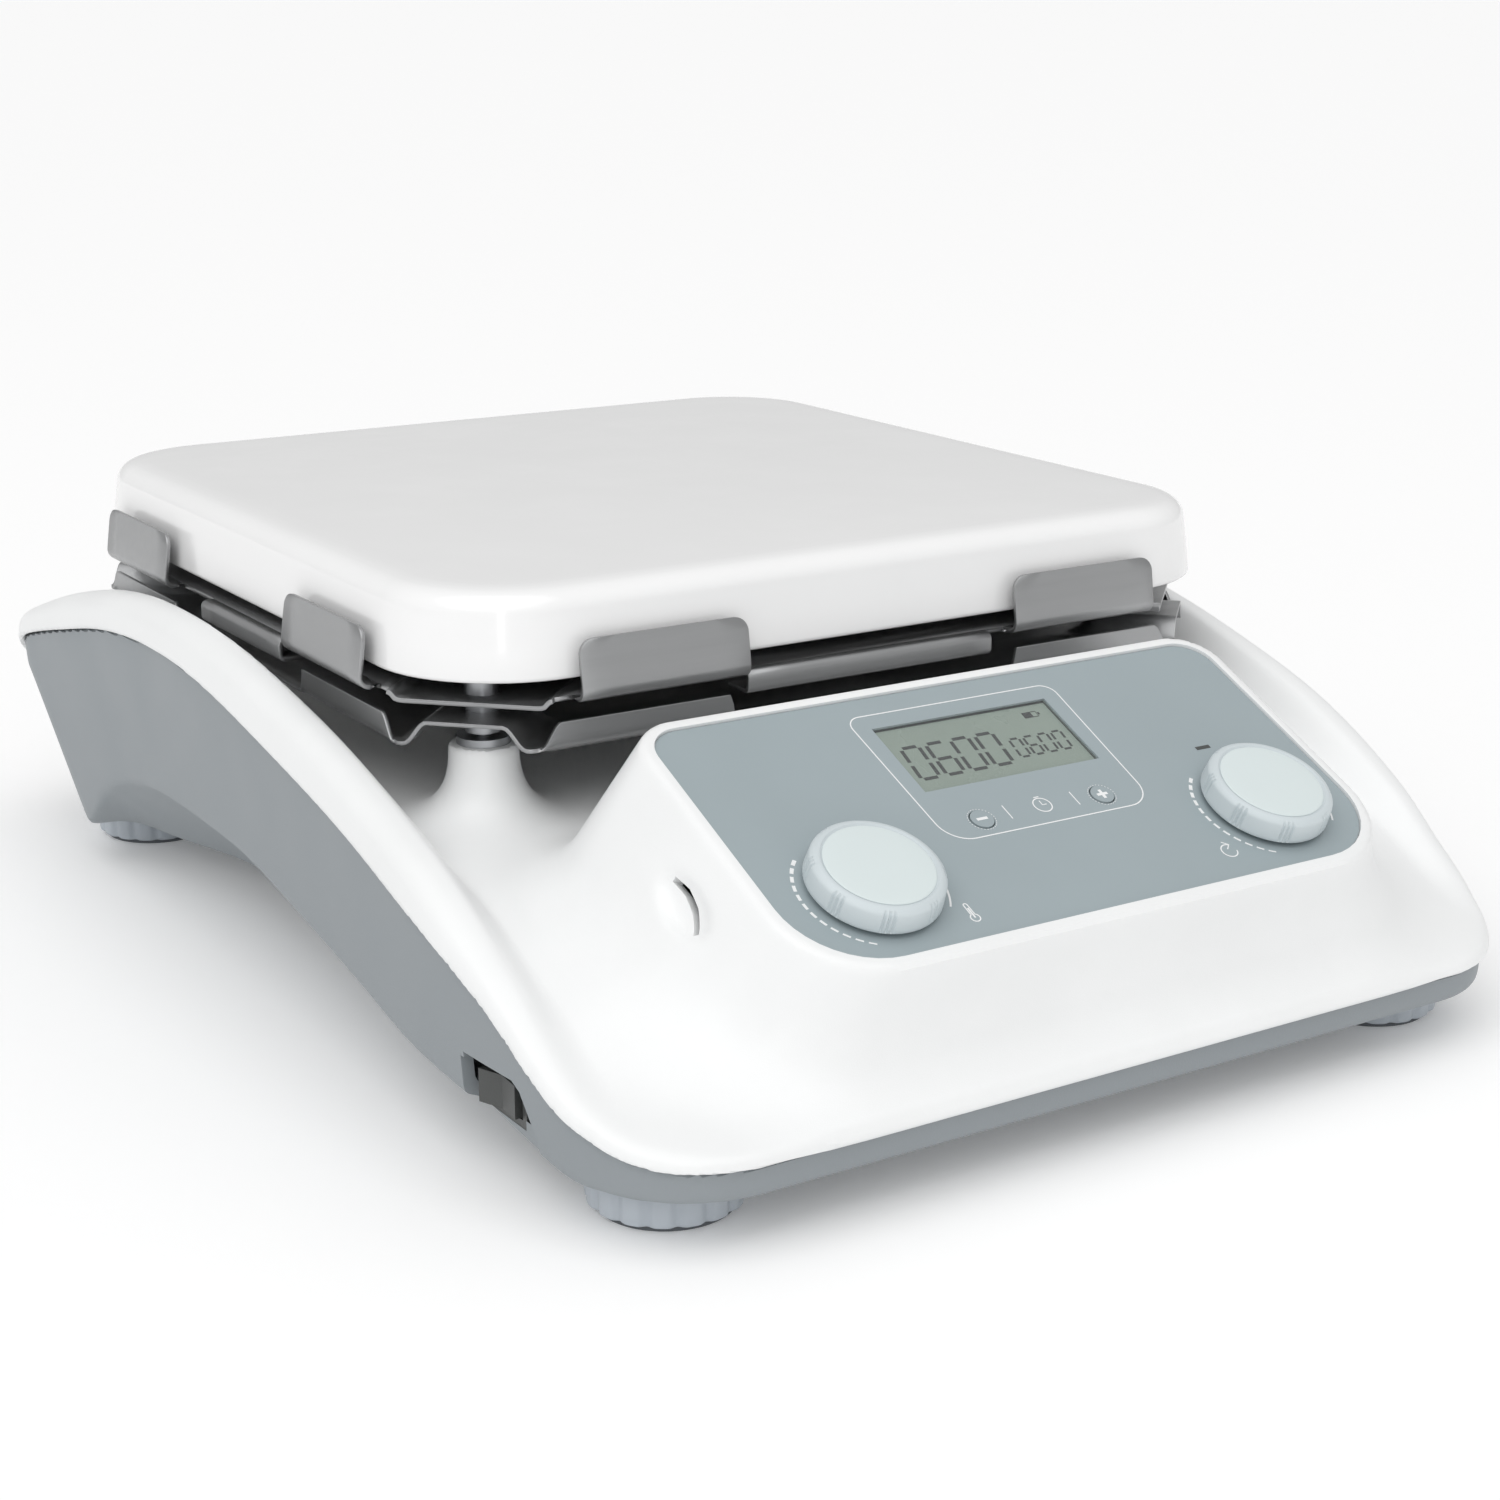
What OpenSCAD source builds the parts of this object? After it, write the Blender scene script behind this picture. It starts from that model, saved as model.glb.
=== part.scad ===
// Magnetic stirrer with a square heated plate, a sloping control console and four levelling feet.
// It stands on the floor plane z = 0, its front faces -Y, and +X is to its right.

/* [Body] */
// Overall length of the housing, front to back
body_l = 412; // [400:2:424]
// Overall width of the housing at the plate
body_w = 300; // [296:1:304]
// Wall thickness of the upper housing
wall = 3; // [2.6:0.1:3.4]
// Wall thickness of the lower case
case_wall = 2.6; // [2.4:0.1:3]
// Height of the lower case's floor over the table
floor_z = 12; // [11:0.5:12.5]

/* [Work plate] */
// Side of the square work plate at its lower edge
plate_side = 258; // [250:1:258]
// Height of the plate's work surface
plate_top_z = 127; // [125:0.5:128]
// Depth of the plate's skirt
plate_skirt = 22.5; // [20:0.5:23]
// Corner radius of the plate in plan
plate_corner_r = 36; // [30:1:40]
// Distance of the plate's centre behind the centre of the housing
plate_y = 35; // [34:1:36]
// Distance of the four support posts from the plate's centre lines
post_pitch = 106; // [104:1:107]

/* [Console] */
// Slope of the control panel against the horizontal
panel_tilt = 24.5; // [23:0.5:26]
// Half width of the panel overlay
panel_half_w = 88; // [86:1:90]
// Distance of each knob from the centre line
knob_x = 61; // [59:1:62]
// Radius of a knob
knob_r = 17; // [15:0.5:18]
// Height of a knob over the panel
knob_h = 8; // [7:0.5:9]

/* [Feet] */
// Distance of the feet from the centre line
foot_x = 112; // [110:1:114]
// Radius of a foot wheel
foot_r = 19; // [17:0.5:20]
// Number of scallops round a foot wheel
foot_flutes = 16; // [12:1:20]

/* [Drive] */
// Radius of the stirring motor
motor_r = 30; // [26:1:32]
// Radius of the steel disc that carries the drive magnets
yoke_r = 36; // [32:1:38]

/* [Hidden] */
$fn = 48;
eps = 0.01;
far = 500;

// Curves

// Point at t between b and c on the smooth curve through a, b, c and d
function blend_point(a, b, c, d, t) =
    0.5 * (2 * b + (c - a) * t + (2 * a - 5 * b + 4 * c - d) * t * t
    + (3 * b - a - 3 * c + d) * t * t * t);

// Smooth curve through a list of knots, with n steps between neighbours
function curve(k, n = 4) = [
    for (i = [0:len(k) - 2], j = [0:n - 1])
        blend_point(k[max(i - 1, 0)], k[i], k[i + 1], k[min(i + 2, len(k) - 1)], j / n),
    k[len(k) - 1]];

// The same curve, moved up by dz
function raised(points, dz) = [for (p = points) [p[0], p[1] + dz]];

// Side view of the housing, as height over distance from its middle, front to back
crest = curve([[-206, 22], [-195, 25], [-180, 31.5], [-165, 41.5], [-145, 55], [-112, 71.2],
    [-75, 83], [-41, 91], [5, 98], [50, 100], [90, 97], [130, 89], [165, 78.5], [192, 67], [206, 56]]);
seam = curve([[-206, 18], [-195, 19], [-180, 25], [-165, 34], [-145, 47], [-115, 59], [-80, 69.5],
    [-40, 78], [10, 86.5], [50, 89], [90, 86], [130, 78], [165, 69.5], [190, 60], [206, 51]]);
deck = curve([[-206, 22], [-190, 26.5], [-170, 34], [-150, 45], [-125, 56], [-100, 63], [-70, 66],
    [-30, 66], [130, 66], [160, 66], [185, 63], [206, 56]]);
arch = curve([[-135, floor_z], [-120, 18], [-75, 32], [-33, 39], [-5, 40.5], [27, 38], [66, 31],
    [105, 21], [132, floor_z]]);
arch_roof = 2.6;
arch_x = 112;
rear_foot_y = 158;
front_foot_y = -170;
feet = [[-foot_x, front_foot_y], [foot_x, front_foot_y], [-foot_x, rear_foot_y], [foot_x, rear_foot_y]];

// Plan of the housing
front_half_w = body_w / 2 - 8;
corner_front_r = 36;
corner_rear_r = 40;
side_taper_y = -100;
wing_inner_x = 136;
case_inset = 1.4;
bay_half_w = 104;
bay_y = 172;
bay_roof_z = 49;
turret_r = 46;
turret_top_z = 94;
turret_low_z = 60;
post_boss_r = 9;
post_boss_low_z = 62;
boss_top_z = 85;
case_screws = [[-112, -140], [112, -140], [-88, -40], [88, -40], [-88, 96], [88, 96]];
case_screw_r = 1.5;
case_screw_head_r = 3.4;

// Console, in its own frame: x across, y up the slope and z out of the panel
panel_y = -165;
panel_z = 74.5;
panel_low = -36.8;
panel_high = 49.9;
panel_low_r = 22;
panel_high_r = 9;
overlay_t = 0.6;
lip_h = 0.8;
lip_w = 3.6;
flank_slope = 0.6;
console_depth = 62;
lcd_half_w = 27.5;
lcd_low = 13;
lcd_high = 38.3;
button_x = 18.9;
button_s = 0.2;
button_r = 3.1;
button_gap = 0.3;
knob_s = -14.4;
board_w = -12;
board_t = 1.6;
board_top_w = board_w + board_t;
display_board_size = [156, 68];
encoder_bush_r = 3.55;
encoder_bush_h = 10.6;
encoder_side = 13;
encoder_ring_r = 5;
encoder_ring_low = 1.5;
encoder_ring_h = 2.5;
panel_hole_r = 3.8;

// Plate stack, in heights over the table
plate_low_z = plate_top_z - plate_skirt;
plate_t = 4.5;
shield_z = 87;
shield_t = 1;
carrier_z = 98.8;
carrier_t = 1.2;
carrier_drop = 2;
pan_z = 102.6;
pan_t = 1;
screw_r = 2;
screw_head_z = 70;
spacer_r = 4.6;
shelf_from = 121;
shelf_w = 40;
tab_near = 43;
tab_far = 92;
tab_plane = 133.5;
tab_h = 16.1;
tab_lean = 8;
tab_corner_r = 4;
heater_t = 4;
heater_z = plate_top_z - plate_t - heater_t;
sensor_x = 60;
sensor_r = 2.5;
sensor_pass_r = 4;
lead_x = -60;
lead_r = 1.5;
lead_low_z = 30;
lead_pass_r = 6;

// Feet
pad_r = 16.5;
wheel_low_z = 1.4;
wheel_top_z = 10.4;
stud_r = 4;
stud_top_z = 24.5;
foot_boss_r = 9;
foot_boss_h = 14.5;
foot_insert_r = 6;
pad_hub_r = 6;
pad_hub_z = 4;
fit_gap = 0.05;

// Drive
motor_low_z = 24;
motor_top_z = 56;
bracket_t = 2;
bracket_side = 90;
bracket_hole_at = 52;
shaft_r = 3;
shaft_top_z = 82;
bearing_r = 8;
hub_r = bearing_r + 4;
yoke_z = 78;
yoke_t = 3;
magnet_r = 10;
magnet_t = 7;
magnet_x = 22;

// Power switch, in the left wall
switch_y = -142;
switch_z = 23.2;
switch_l = 21;
switch_h = 13;
switch_x = -136.5;
switch_pivot_r = 1.2;
rocker_tilt = 9;

// Circuit boards in the lower case
main_board_at = [0, -105];
main_board_size = [140, 80];
power_board_at = [10, 128];
power_board_size = [120, 60];
board_z = floor_z + case_wall + 5;

// Rear connections, in the bay's front wall
inlet_x = -58;
inlet_z = 33;
inlet_w = 27;
inlet_h = 20;
fuse_w = 14;
socket_x = 12;
socket_z = 33;
socket_r = 7;
socket_bore_r = 5;
serial_x = 44;
serial_w = 18.6;
serial_h = 10.2;
rod_x = 82;
rod_z = 33;
rod_bush_r = 9;
rod_bore_r = 5;

// Layout helpers

module mirrored_x() {
    children();
    mirror([1, 0, 0]) children();
}

module at_posts() {
    for (sx = [-1, 1], sy = [-1, 1])
        translate([sx * post_pitch, plate_y + sy * post_pitch, 0]) children();
}

module at_feet() {
    for (f = feet) translate([f[0], f[1], 0]) children();
}

module at_case_screws() {
    for (p = case_screws) translate([p[0], p[1], 0]) children();
}

module at_panel() {
    translate([0, panel_y, panel_z]) rotate([panel_tilt, 0, 0]) children();
}

// Side view (y, z) extruded across the housing between x0 and x1
module across(x0, x1) {
    translate([x0, 0, 0]) rotate([90, 0, 90]) linear_extrude(x1 - x0) children();
}

module rounded_rect(w, l, r) {
    for (sx = [-1, 1], sy = [-1, 1]) translate([sx * (w / 2 - r), sy * (l / 2 - r)]) circle(r);
    square([w, l - 2 * r], center = true);
    square([w - 2 * r, l], center = true);
}

module slab(w, l, h, r) {
    linear_extrude(h) rounded_rect(w, l, r);
}

module ring(r_out, r_in, h) {
    difference() {
        cylinder(r = r_out, h = h);
        translate([0, 0, -1]) cylinder(r = r_in, h = h + 2);
    }
}

// Housing shapes shared by the two shells

function arc_points(cx, cy, r, a0, a1, n) = [
    for (i = [0:n]) let (a = a0 + (a1 - a0) * i / n) [cx + r * cos(a), cy + r * sin(a)]];

// Right half of the plan outline, drawn in by inset, from front to back
function half_plan(inset) =
    let (hw = body_w / 2 - inset, fw = front_half_w - inset, hl = body_l / 2 - inset)
    concat([[0, -hl]],
        arc_points(fw - corner_front_r, -hl + corner_front_r, corner_front_r, -90, -6, 7),
        [for (t = [0.25, 0.5, 0.75, 1]) [fw + (hw - fw) * sqrt(t * (2 - t)),
            -hl + corner_front_r + (side_taper_y + hl - corner_front_r) * t]],
        arc_points(hw - corner_rear_r, hl - corner_rear_r, corner_rear_r, 0, 90, 8),
        [[0, hl]]);

module plan(inset = 0) {
    half = half_plan(inset);
    back = [for (i = [len(half) - 2:-1:1]) [-half[i][0], half[i][1]]];
    polygon(concat(half, back));
}

// All that lies below a curve that runs front to back
module below(points, from_z = -20) {
    first = points[0];
    last = points[len(points) - 1];
    polygon(concat([[first[0] - 20, from_z], [first[0] - 20, first[1]]], points,
        [[last[0] + 20, last[1]], [last[0] + 20, from_z]]));
}

module above(points) {
    first = points[0];
    last = points[len(points) - 1];
    polygon(concat([[first[0] - 20, far], [first[0] - 20, first[1]]], points,
        [[last[0] + 20, last[1]], [last[0] + 20, far]]));
}

// Console block with sloping flanks; grow is negative for the hollow inside
module console_block(grow = 0) {
    half_w = panel_half_w + lip_w + grow;
    low = panel_low - lip_w - grow;
    high = panel_high + lip_w + grow;
    foot_w = half_w + flank_slope * console_depth;
    cut = panel_low_r;
    at_panel() intersection() {
        translate([0, high, 0]) rotate([90, 0, 0]) linear_extrude(high - low)
            polygon([[-half_w, lip_h + grow], [half_w, lip_h + grow],
                [foot_w, -console_depth], [-foot_w, -console_depth]]);
        translate([0, 0, -console_depth]) linear_extrude(2 * console_depth)
            polygon([[-foot_w, high], [foot_w, high], [foot_w, low + foot_w - half_w + cut],
                [half_w - cut, low], [cut - half_w, low], [-foot_w, low + foot_w - half_w + cut]]);
    }
}

// Body

module lower_case_outside(inset) {
    intersection() {
        linear_extrude(far) plan(case_inset + inset);
        across(-far, far) intersection() {
            below(seam);
            polygon([[-far, floor_z + inset], [168 - inset, floor_z + inset], [174 - inset, 17 + inset],
                [207 - inset, 57], [207, far], [-far, far]]);
        }
    }
}

module arch_cut(roof) {
    mirrored_x() across(arch_x - roof, far) below(raised(arch, roof), -5);
}

module lower_case() {
    color([0.60, 0.63, 0.65]) difference() {
        union() {
            difference() {
                lower_case_outside(0);
                arch_cut(0);
                difference() {
                    lower_case_outside(case_wall);
                    arch_cut(arch_roof);
                    translate([-bay_half_w - case_wall, bay_y - case_wall, 0])
                        cube([2 * (bay_half_w + case_wall), far, bay_roof_z + case_wall]);
                }
                translate([-bay_half_w, bay_y, -1]) cube([2 * bay_half_w, far, bay_roof_z + 1]);
            }
            at_feet() translate([0, 0, floor_z]) cylinder(r = foot_boss_r, h = foot_boss_h);
            at_case_screws() translate([0, 0, floor_z]) cylinder(r = case_screw_head_r + 1.6, h = 7.5);
            intersection() {
                switch_pocket(2);
                lower_case_outside(0);
            }
            board_pillars(main_board_at, main_board_size);
            board_pillars(power_board_at, power_board_size);
        }
        at_feet() translate([0, 0, floor_z - 1]) cylinder(r = foot_insert_r, h = far);
        at_case_screws() {
            cylinder(r = case_screw_r + 0.5, h = 40);
            cylinder(r = case_screw_head_r + 0.6, h = floor_z + 3);
        }
        switch_opening();
        translate([inlet_x, 0, inlet_z]) rotate([-90, 0, 0])
            linear_extrude(far) square([inlet_w + 0.6, inlet_h + 0.6], center = true);
        translate([socket_x, bay_y - 10, socket_z]) rotate([-90, 0, 0])
            cylinder(r = socket_r + 0.1, h = 20);
        translate([serial_x, bay_y, socket_z])
            cube([serial_w + 0.4, 20, serial_h + 0.4], center = true);
        translate([rod_x, bay_y - 10, rod_z]) rotate([-90, 0, 0]) cylinder(r = rod_bush_r + 0.1, h = 20);
        vents();
    }
}

// Slots in the floor below the power board
module vents() {
    for (i = [-4:4]) translate([i * 9 - 1.5, 20, floor_z - 1]) cube([3, 50, 6]);
}

// Block behind the left wall that holds the switch; grow is negative for the recess cut into it
module switch_pocket(grow) {
    margin = 1.5 + grow;
    translate([switch_x - 20, switch_y - switch_l / 2 - margin, switch_z - switch_h / 2 - margin])
        cube([20 + grow, switch_l + 2 * margin, switch_h + 2 * margin]);
}

module switch_opening() {
    switch_pocket(0);
    translate([switch_x, switch_y, switch_z])
        cube([14, switch_l - 1.6, switch_h - 1.6], center = true);
}

module housing_core(inset) {
    intersection() {
        linear_extrude(far) plan(inset);
        across(-far, far) below(raised(crest, -inset));
    }
}

// Open valley between the two side wings
module valley(inset) {
    across(-wing_inner_x - inset, wing_inner_x + inset) above(raised(deck, -inset));
}

module upper_housing() {
    color([0.95, 0.95, 0.95]) difference() {
        union() {
            difference() {
                housing_core(0);
                valley(0);
            }
            intersection() {
                console_block();
                across(-far, far) above(raised(deck, -wall));
            }
            translate([0, plate_y, turret_low_z])
                cylinder(r = turret_r, h = turret_top_z - turret_low_z);
            at_posts() translate([0, 0, post_boss_low_z])
                cylinder(r = post_boss_r, h = boss_top_z - post_boss_low_z);
        }
        difference() {
            housing_hollow();
            inside_bosses();
        }
        difference() {
            across(-far, far) below(seam);
            linear_extrude(far) plan(wall + 2);
        }
        translate([0, plate_y, 0]) cylinder(r = turret_r - wall, h = turret_top_z - wall);
        at_posts() translate([0, 0, 50]) cylinder(r = screw_r + 0.2, h = 50);
        at_posts() translate([0, 0, 50]) cylinder(r = 5, h = 20);
        at_case_screws() cylinder(r = case_screw_r + fit_gap, h = 26);
        bracket_screw_holes();
        panel_openings();
        translate([lead_x, plate_y, 50]) cylinder(r = lead_pass_r + 0.1, h = 30);
        side_slot();
    }
}

module housing_hollow() {
    difference() {
        housing_core(wall);
        valley(wall);
    }
    intersection() {
        console_block(-wall);
        across(-far, far) above(raised(deck, -wall - 8));
        linear_extrude(far) plan(wall);
    }
}

// Screw pillars that hang from the deck
module inside_bosses() {
    at_case_screws() translate([0, 0, 20]) cylinder(r = 4.2, h = 120);
    translate([0, plate_y, motor_top_z + bracket_t])
        for (a = [45:90:315]) rotate(a) translate([bracket_hole_at, 0, 0]) cylinder(r = 4.5, h = 30);
}

module bracket_screw_holes() {
    translate([0, plate_y, 40])
        for (a = [45:90:315]) rotate(a) translate([bracket_hole_at, 0, 0]) cylinder(r = 1.5, h = 24);
}

// Pocket for the overlay, and the holes below it
module panel_openings() {
    at_panel() {
        translate([0, 0, -overlay_t]) linear_extrude(5) panel_outline(0.15);
        translate([-lcd_half_w - 1.5, lcd_low - 1.5, -10])
            cube([2 * lcd_half_w + 3, lcd_high - lcd_low + 3, 12]);
        for (sx = [-1, 1]) {
            translate([sx * button_x, button_s, -10]) cylinder(r = button_r + button_gap, h = 12);
            translate([sx * knob_x, knob_s, -10]) cylinder(r = panel_hole_r, h = 12);
        }
    }
}

// Dark cable slot in the console's left flank
module side_slot() {
    at_panel() translate([-panel_half_w - lip_w - 7, 4, -12]) rotate([0, -30, 0])
        cube([12, 16, 1.6], center = true);
}

// Rounded outline of the printed panel
module panel_outline(grow = 0) {
    w = panel_half_w + grow;
    points = concat(
        arc_points(w - panel_low_r, panel_low - grow + panel_low_r, panel_low_r, -90, 0, 8),
        arc_points(w - panel_high_r, panel_high + grow - panel_high_r, panel_high_r, 0, 90, 6),
        arc_points(panel_high_r - w, panel_high + grow - panel_high_r, panel_high_r, 90, 180, 6),
        arc_points(panel_low_r - w, panel_low - grow + panel_low_r, panel_low_r, 180, 270, 8));
    polygon(points);
}

module housing_screws() {
    color("silver") at_case_screws() translate([0, 0, floor_z + 0.4]) {
        cylinder(r = case_screw_head_r, h = 2.6);
        cylinder(r = case_screw_r, h = 12);
    }
}

// Feet

module foot_inserts() {
    color("goldenrod") at_feet() translate([0, 0, floor_z + 1])
        ring(foot_insert_r, stud_r + fit_gap, foot_boss_h - 2);
}

// Rubber pad that stays still while the wheel above it turns
module foot_pad(i) {
    color([0.25, 0.25, 0.26]) translate([feet[i][0], feet[i][1], 0]) {
        cylinder(r = pad_r, h = wheel_low_z - 0.2);
        cylinder(r = pad_hub_r, h = pad_hub_z);
    }
}

module foot_wheel(i) {
    color([0.75, 0.78, 0.80]) translate([feet[i][0], feet[i][1], 0]) difference() {
        translate([0, 0, wheel_low_z]) cylinder(r = foot_r, h = wheel_top_z - wheel_low_z, $fn = 96);
        for (k = [0:foot_flutes - 1]) rotate(k * 360 / foot_flutes)
            translate([foot_r + 1.2, 0, 0]) cylinder(r = 2.6, h = 20, $fn = 24);
        cylinder(r = pad_hub_r + fit_gap, h = pad_hub_z + 0.3);
        cylinder(r = stud_r, h = 20);
        translate([0, 0, wheel_top_z - 1]) ring(foot_r - 2.5, 7, 2);
    }
}

module foot_stud(i) {
    color("silver") translate([feet[i][0], feet[i][1], pad_hub_z + 0.3])
        cylinder(r = stud_r, h = stud_top_z - pad_hub_z - 0.3);
}

module front_left_foot_pad() { foot_pad(0); }
module front_left_foot_wheel() { foot_wheel(0); }
module front_left_foot_stud() { foot_stud(0); }
module front_right_foot_pad() { foot_pad(1); }
module front_right_foot_wheel() { foot_wheel(1); }
module front_right_foot_stud() { foot_stud(1); }
module rear_left_foot_pad() { foot_pad(2); }
module rear_left_foot_wheel() { foot_wheel(2); }
module rear_left_foot_stud() { foot_stud(2); }
module rear_right_foot_pad() { foot_pad(3); }
module rear_right_foot_wheel() { foot_wheel(3); }
module rear_right_foot_stud() { foot_stud(3); }

// Work plate and what holds it

// Side view of the plate: a slight draft and a rounded upper edge
module plate_profile() {
    half = plate_side / 2;
    edge = 5;
    left = arc_points(2 + edge - half, plate_top_z - edge, edge, 180, 90, 6);
    right = arc_points(half - 2 - edge, plate_top_z - edge, edge, 90, 0, 6);
    polygon(concat([[-half, plate_low_z]], left, right, [[half, plate_low_z]]));
}

module top_plate() {
    color([0.93, 0.93, 0.94]) translate([0, plate_y, 0]) difference() {
        union() {
            difference() {
                intersection() {
                    slab(plate_side, plate_side, far, plate_corner_r);
                    across(-far, far) plate_profile();
                    rotate(90) across(-far, far) plate_profile();
                }
                translate([0, 0, plate_low_z - 1])
                    slab(plate_side - 12, plate_side - 12, plate_skirt + 1 - plate_t, plate_corner_r - 6);
            }
            for (sx = [-1, 1], sy = [-1, 1])
                translate([sx * post_pitch, sy * post_pitch, pan_z + pan_t])
                    cylinder(r = 6, h = plate_top_z - plate_t - pan_z);
        }
        for (sx = [-1, 1], sy = [-1, 1])
            translate([sx * post_pitch, sy * post_pitch, plate_low_z - 5])
                cylinder(r = screw_r + fit_gap, h = 17);
        translate([sensor_x, 0, plate_top_z - 9]) cylinder(r = sensor_r + fit_gap, h = 7);
    }
}

module heating_element() {
    side = 196;
    color([0.72, 0.66, 0.5]) translate([0, plate_y, heater_z]) difference() {
        slab(side, side, heater_t, 20);
        translate([0, 0, -1]) cylinder(r = 18, h = heater_t + 2);
        translate([sensor_x, 0, -1]) cylinder(r = sensor_pass_r + 1, h = heater_t + 2);
    }
}

module plate_sensor() {
    color("silver") translate([sensor_x, plate_y, plate_top_z - 16]) cylinder(r = sensor_r, h = 13.5);
}

module insulation_mat() {
    side = 200;
    color([0.9, 0.88, 0.8]) translate([0, plate_y, pan_z + pan_t]) difference() {
        slab(side, side, heater_z - pan_z - pan_t, 20);
        translate([0, 0, -1]) stack_passages(30);
    }
}

// Holes for the temperature sensor and the heater leads, measured from the plate's centre
module stack_passages(h) {
    translate([sensor_x, 0, 0]) cylinder(r = sensor_pass_r, h = h);
    translate([lead_x, 0, 0]) cylinder(r = lead_pass_r, h = h);
}

// Dished sheet below the plate, with a rim that turns up inside the skirt
module inner_pan() {
    pan_side = 238;
    color([0.7, 0.7, 0.72]) translate([0, plate_y, 0]) difference() {
        translate([0, 0, pan_z]) slab(pan_side, pan_side, 6, 22);
        translate([0, 0, pan_z + pan_t])
            slab(pan_side - 2 * pan_t, pan_side - 2 * pan_t, 10, 21);
        for (sx = [-1, 1], sy = [-1, 1])
            translate([sx * post_pitch, sy * post_pitch, pan_z - 1]) cylinder(r = screw_r + 0.3, h = 10);
        translate([0, 0, pan_z - 1]) stack_passages(10);
    }
}

// One upright tab, standing on the carrier's edge, with rounded upper corners
module clip_tab() {
    w = tab_far - tab_near;
    r = tab_corner_r;
    rotate([90 - tab_lean, 0, 0]) linear_extrude(carrier_t) {
        translate([tab_near, 0]) square([w, tab_h - r]);
        translate([tab_near + r, 0]) square([w - 2 * r, tab_h]);
        for (x = [tab_near + r, tab_far - r]) translate([x, tab_h - r]) circle(r);
    }
}

module clip_carrier() {
    side = 2 * tab_plane;
    color([0.62, 0.62, 0.63]) translate([0, plate_y, 0]) difference() {
        union() {
            translate([0, 0, carrier_z]) linear_extrude(carrier_t) difference() {
                union() {
                    square([side - 12, side - 60], center = true);
                    square([side - 60, side - 12], center = true);
                    for (a = [0:90:270], sx = [-1, 1]) rotate(a)
                        translate([sx * (tab_near + tab_far) / 2, -tab_plane + 5 + carrier_t / 2])
                            square([tab_far - tab_near - 2, 10], center = true);
                }
                circle(70);
                for (a = [45:90:315]) rotate(a)
                    translate([shelf_from, -shelf_w / 2 - 3]) square([60, shelf_w + 6]);
            }
            for (a = [0:90:270]) rotate(a) {
                for (m = [0, 1]) mirror([m, 0, 0])
                    translate([0, -tab_plane + carrier_t, carrier_z + 0.2]) clip_tab();
                edge_fold();
            }
            for (a = [45:90:315]) rotate(a) corner_shelf();
        }
        for (a = [45:90:315]) rotate(a) translate([post_pitch * sqrt(2), 0, 80])
            cylinder(r = screw_r + 0.3, h = 30);
    }
}

// Channel folded down between two tabs
module edge_fold() {
    fold = 36;
    depth = 7;
    translate([-fold, -tab_plane + 3, carrier_z + carrier_t - depth]) {
        cube([2 * fold, carrier_t, depth]);
        cube([2 * fold, 9, carrier_t]);
        translate([0, 0, depth - carrier_t]) cube([2 * fold, 8, carrier_t]);
    }
}

// Lowered corner that the post screws to
module corner_shelf() {
    shelf_to = post_pitch * sqrt(2) + 11;
    translate([shelf_from - 0.8, -shelf_w / 2, carrier_z - carrier_drop]) {
        cube([shelf_to - shelf_from, shelf_w, carrier_t]);
        cube([carrier_t + 0.4, shelf_w, carrier_drop + carrier_t - 0.1]);
    }
}

module heat_shield() {
    side = 2 * 131;
    color([0.72, 0.72, 0.73]) translate([0, plate_y, 0]) difference() {
        union() {
            translate([0, 0, shield_z]) linear_extrude(shield_t) difference() {
                rounded_rect(side, side, 30);
                circle(turret_r + 3);
            }
            for (a = [0:90:270]) rotate(a) for (m = [0, 1]) mirror([m, 0, 0])
                translate([47, -side / 2, shield_z]) cube([50, shield_t, 7]);
            translate([0, 0, shield_z]) ring(turret_r + 4, turret_r + 3, 5);
        }
        for (sx = [-1, 1], sy = [-1, 1])
            translate([sx * post_pitch, sy * post_pitch, 80]) cylinder(r = screw_r + 0.3, h = 20);
        translate([0, 0, 80]) stack_passages(20);
    }
}

module post_washers() {
    color("silver") at_posts() translate([0, 0, boss_top_z])
        ring(7, screw_r + 0.2, shield_z - boss_top_z);
}

module lower_spacers() {
    color([0.7, 0.7, 0.7]) at_posts() translate([0, 0, shield_z + shield_t])
        ring(spacer_r, screw_r + 0.2, carrier_z - carrier_drop - shield_z - shield_t);
}

module upper_spacers() {
    color([0.7, 0.7, 0.7]) at_posts() translate([0, 0, carrier_z - carrier_drop + carrier_t])
        ring(spacer_r, screw_r + 0.2, pan_z - carrier_z + carrier_drop - carrier_t);
}

module plate_screws() {
    color("silver") at_posts() {
        translate([0, 0, screw_head_z - 3]) cylinder(r = 3.6, h = 3);
        translate([0, 0, screw_head_z - eps]) cylinder(r = screw_r, h = plate_low_z + 10 - screw_head_z);
    }
}

module heater_leads() {
    color([0.85, 0.82, 0.75]) for (k = [0, 1, 2])
        translate([lead_x + 2.4 * cos(k * 120), plate_y + 2.4 * sin(k * 120), lead_low_z])
            cylinder(r = lead_r, h = heater_z - lead_low_z);
}

module lead_grommet() {
    color([0.3, 0.3, 0.3]) translate([lead_x, plate_y, turret_low_z]) {
        ring(lead_pass_r, 4.2, 9);
        translate([0, 0, 6]) ring(8.5, 4.2, 2);
    }
}

// Drive

module motor_bracket() {
    color("silver") translate([0, plate_y, motor_top_z]) difference() {
        slab(bracket_side, bracket_side, bracket_t, 8);
        translate([0, 0, -1]) cylinder(r = hub_r + 0.2, h = 5);
        for (a = [45:90:315]) rotate(a) translate([bracket_hole_at, 0, -1]) cylinder(r = 1.7, h = 5);
    }
}

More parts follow.
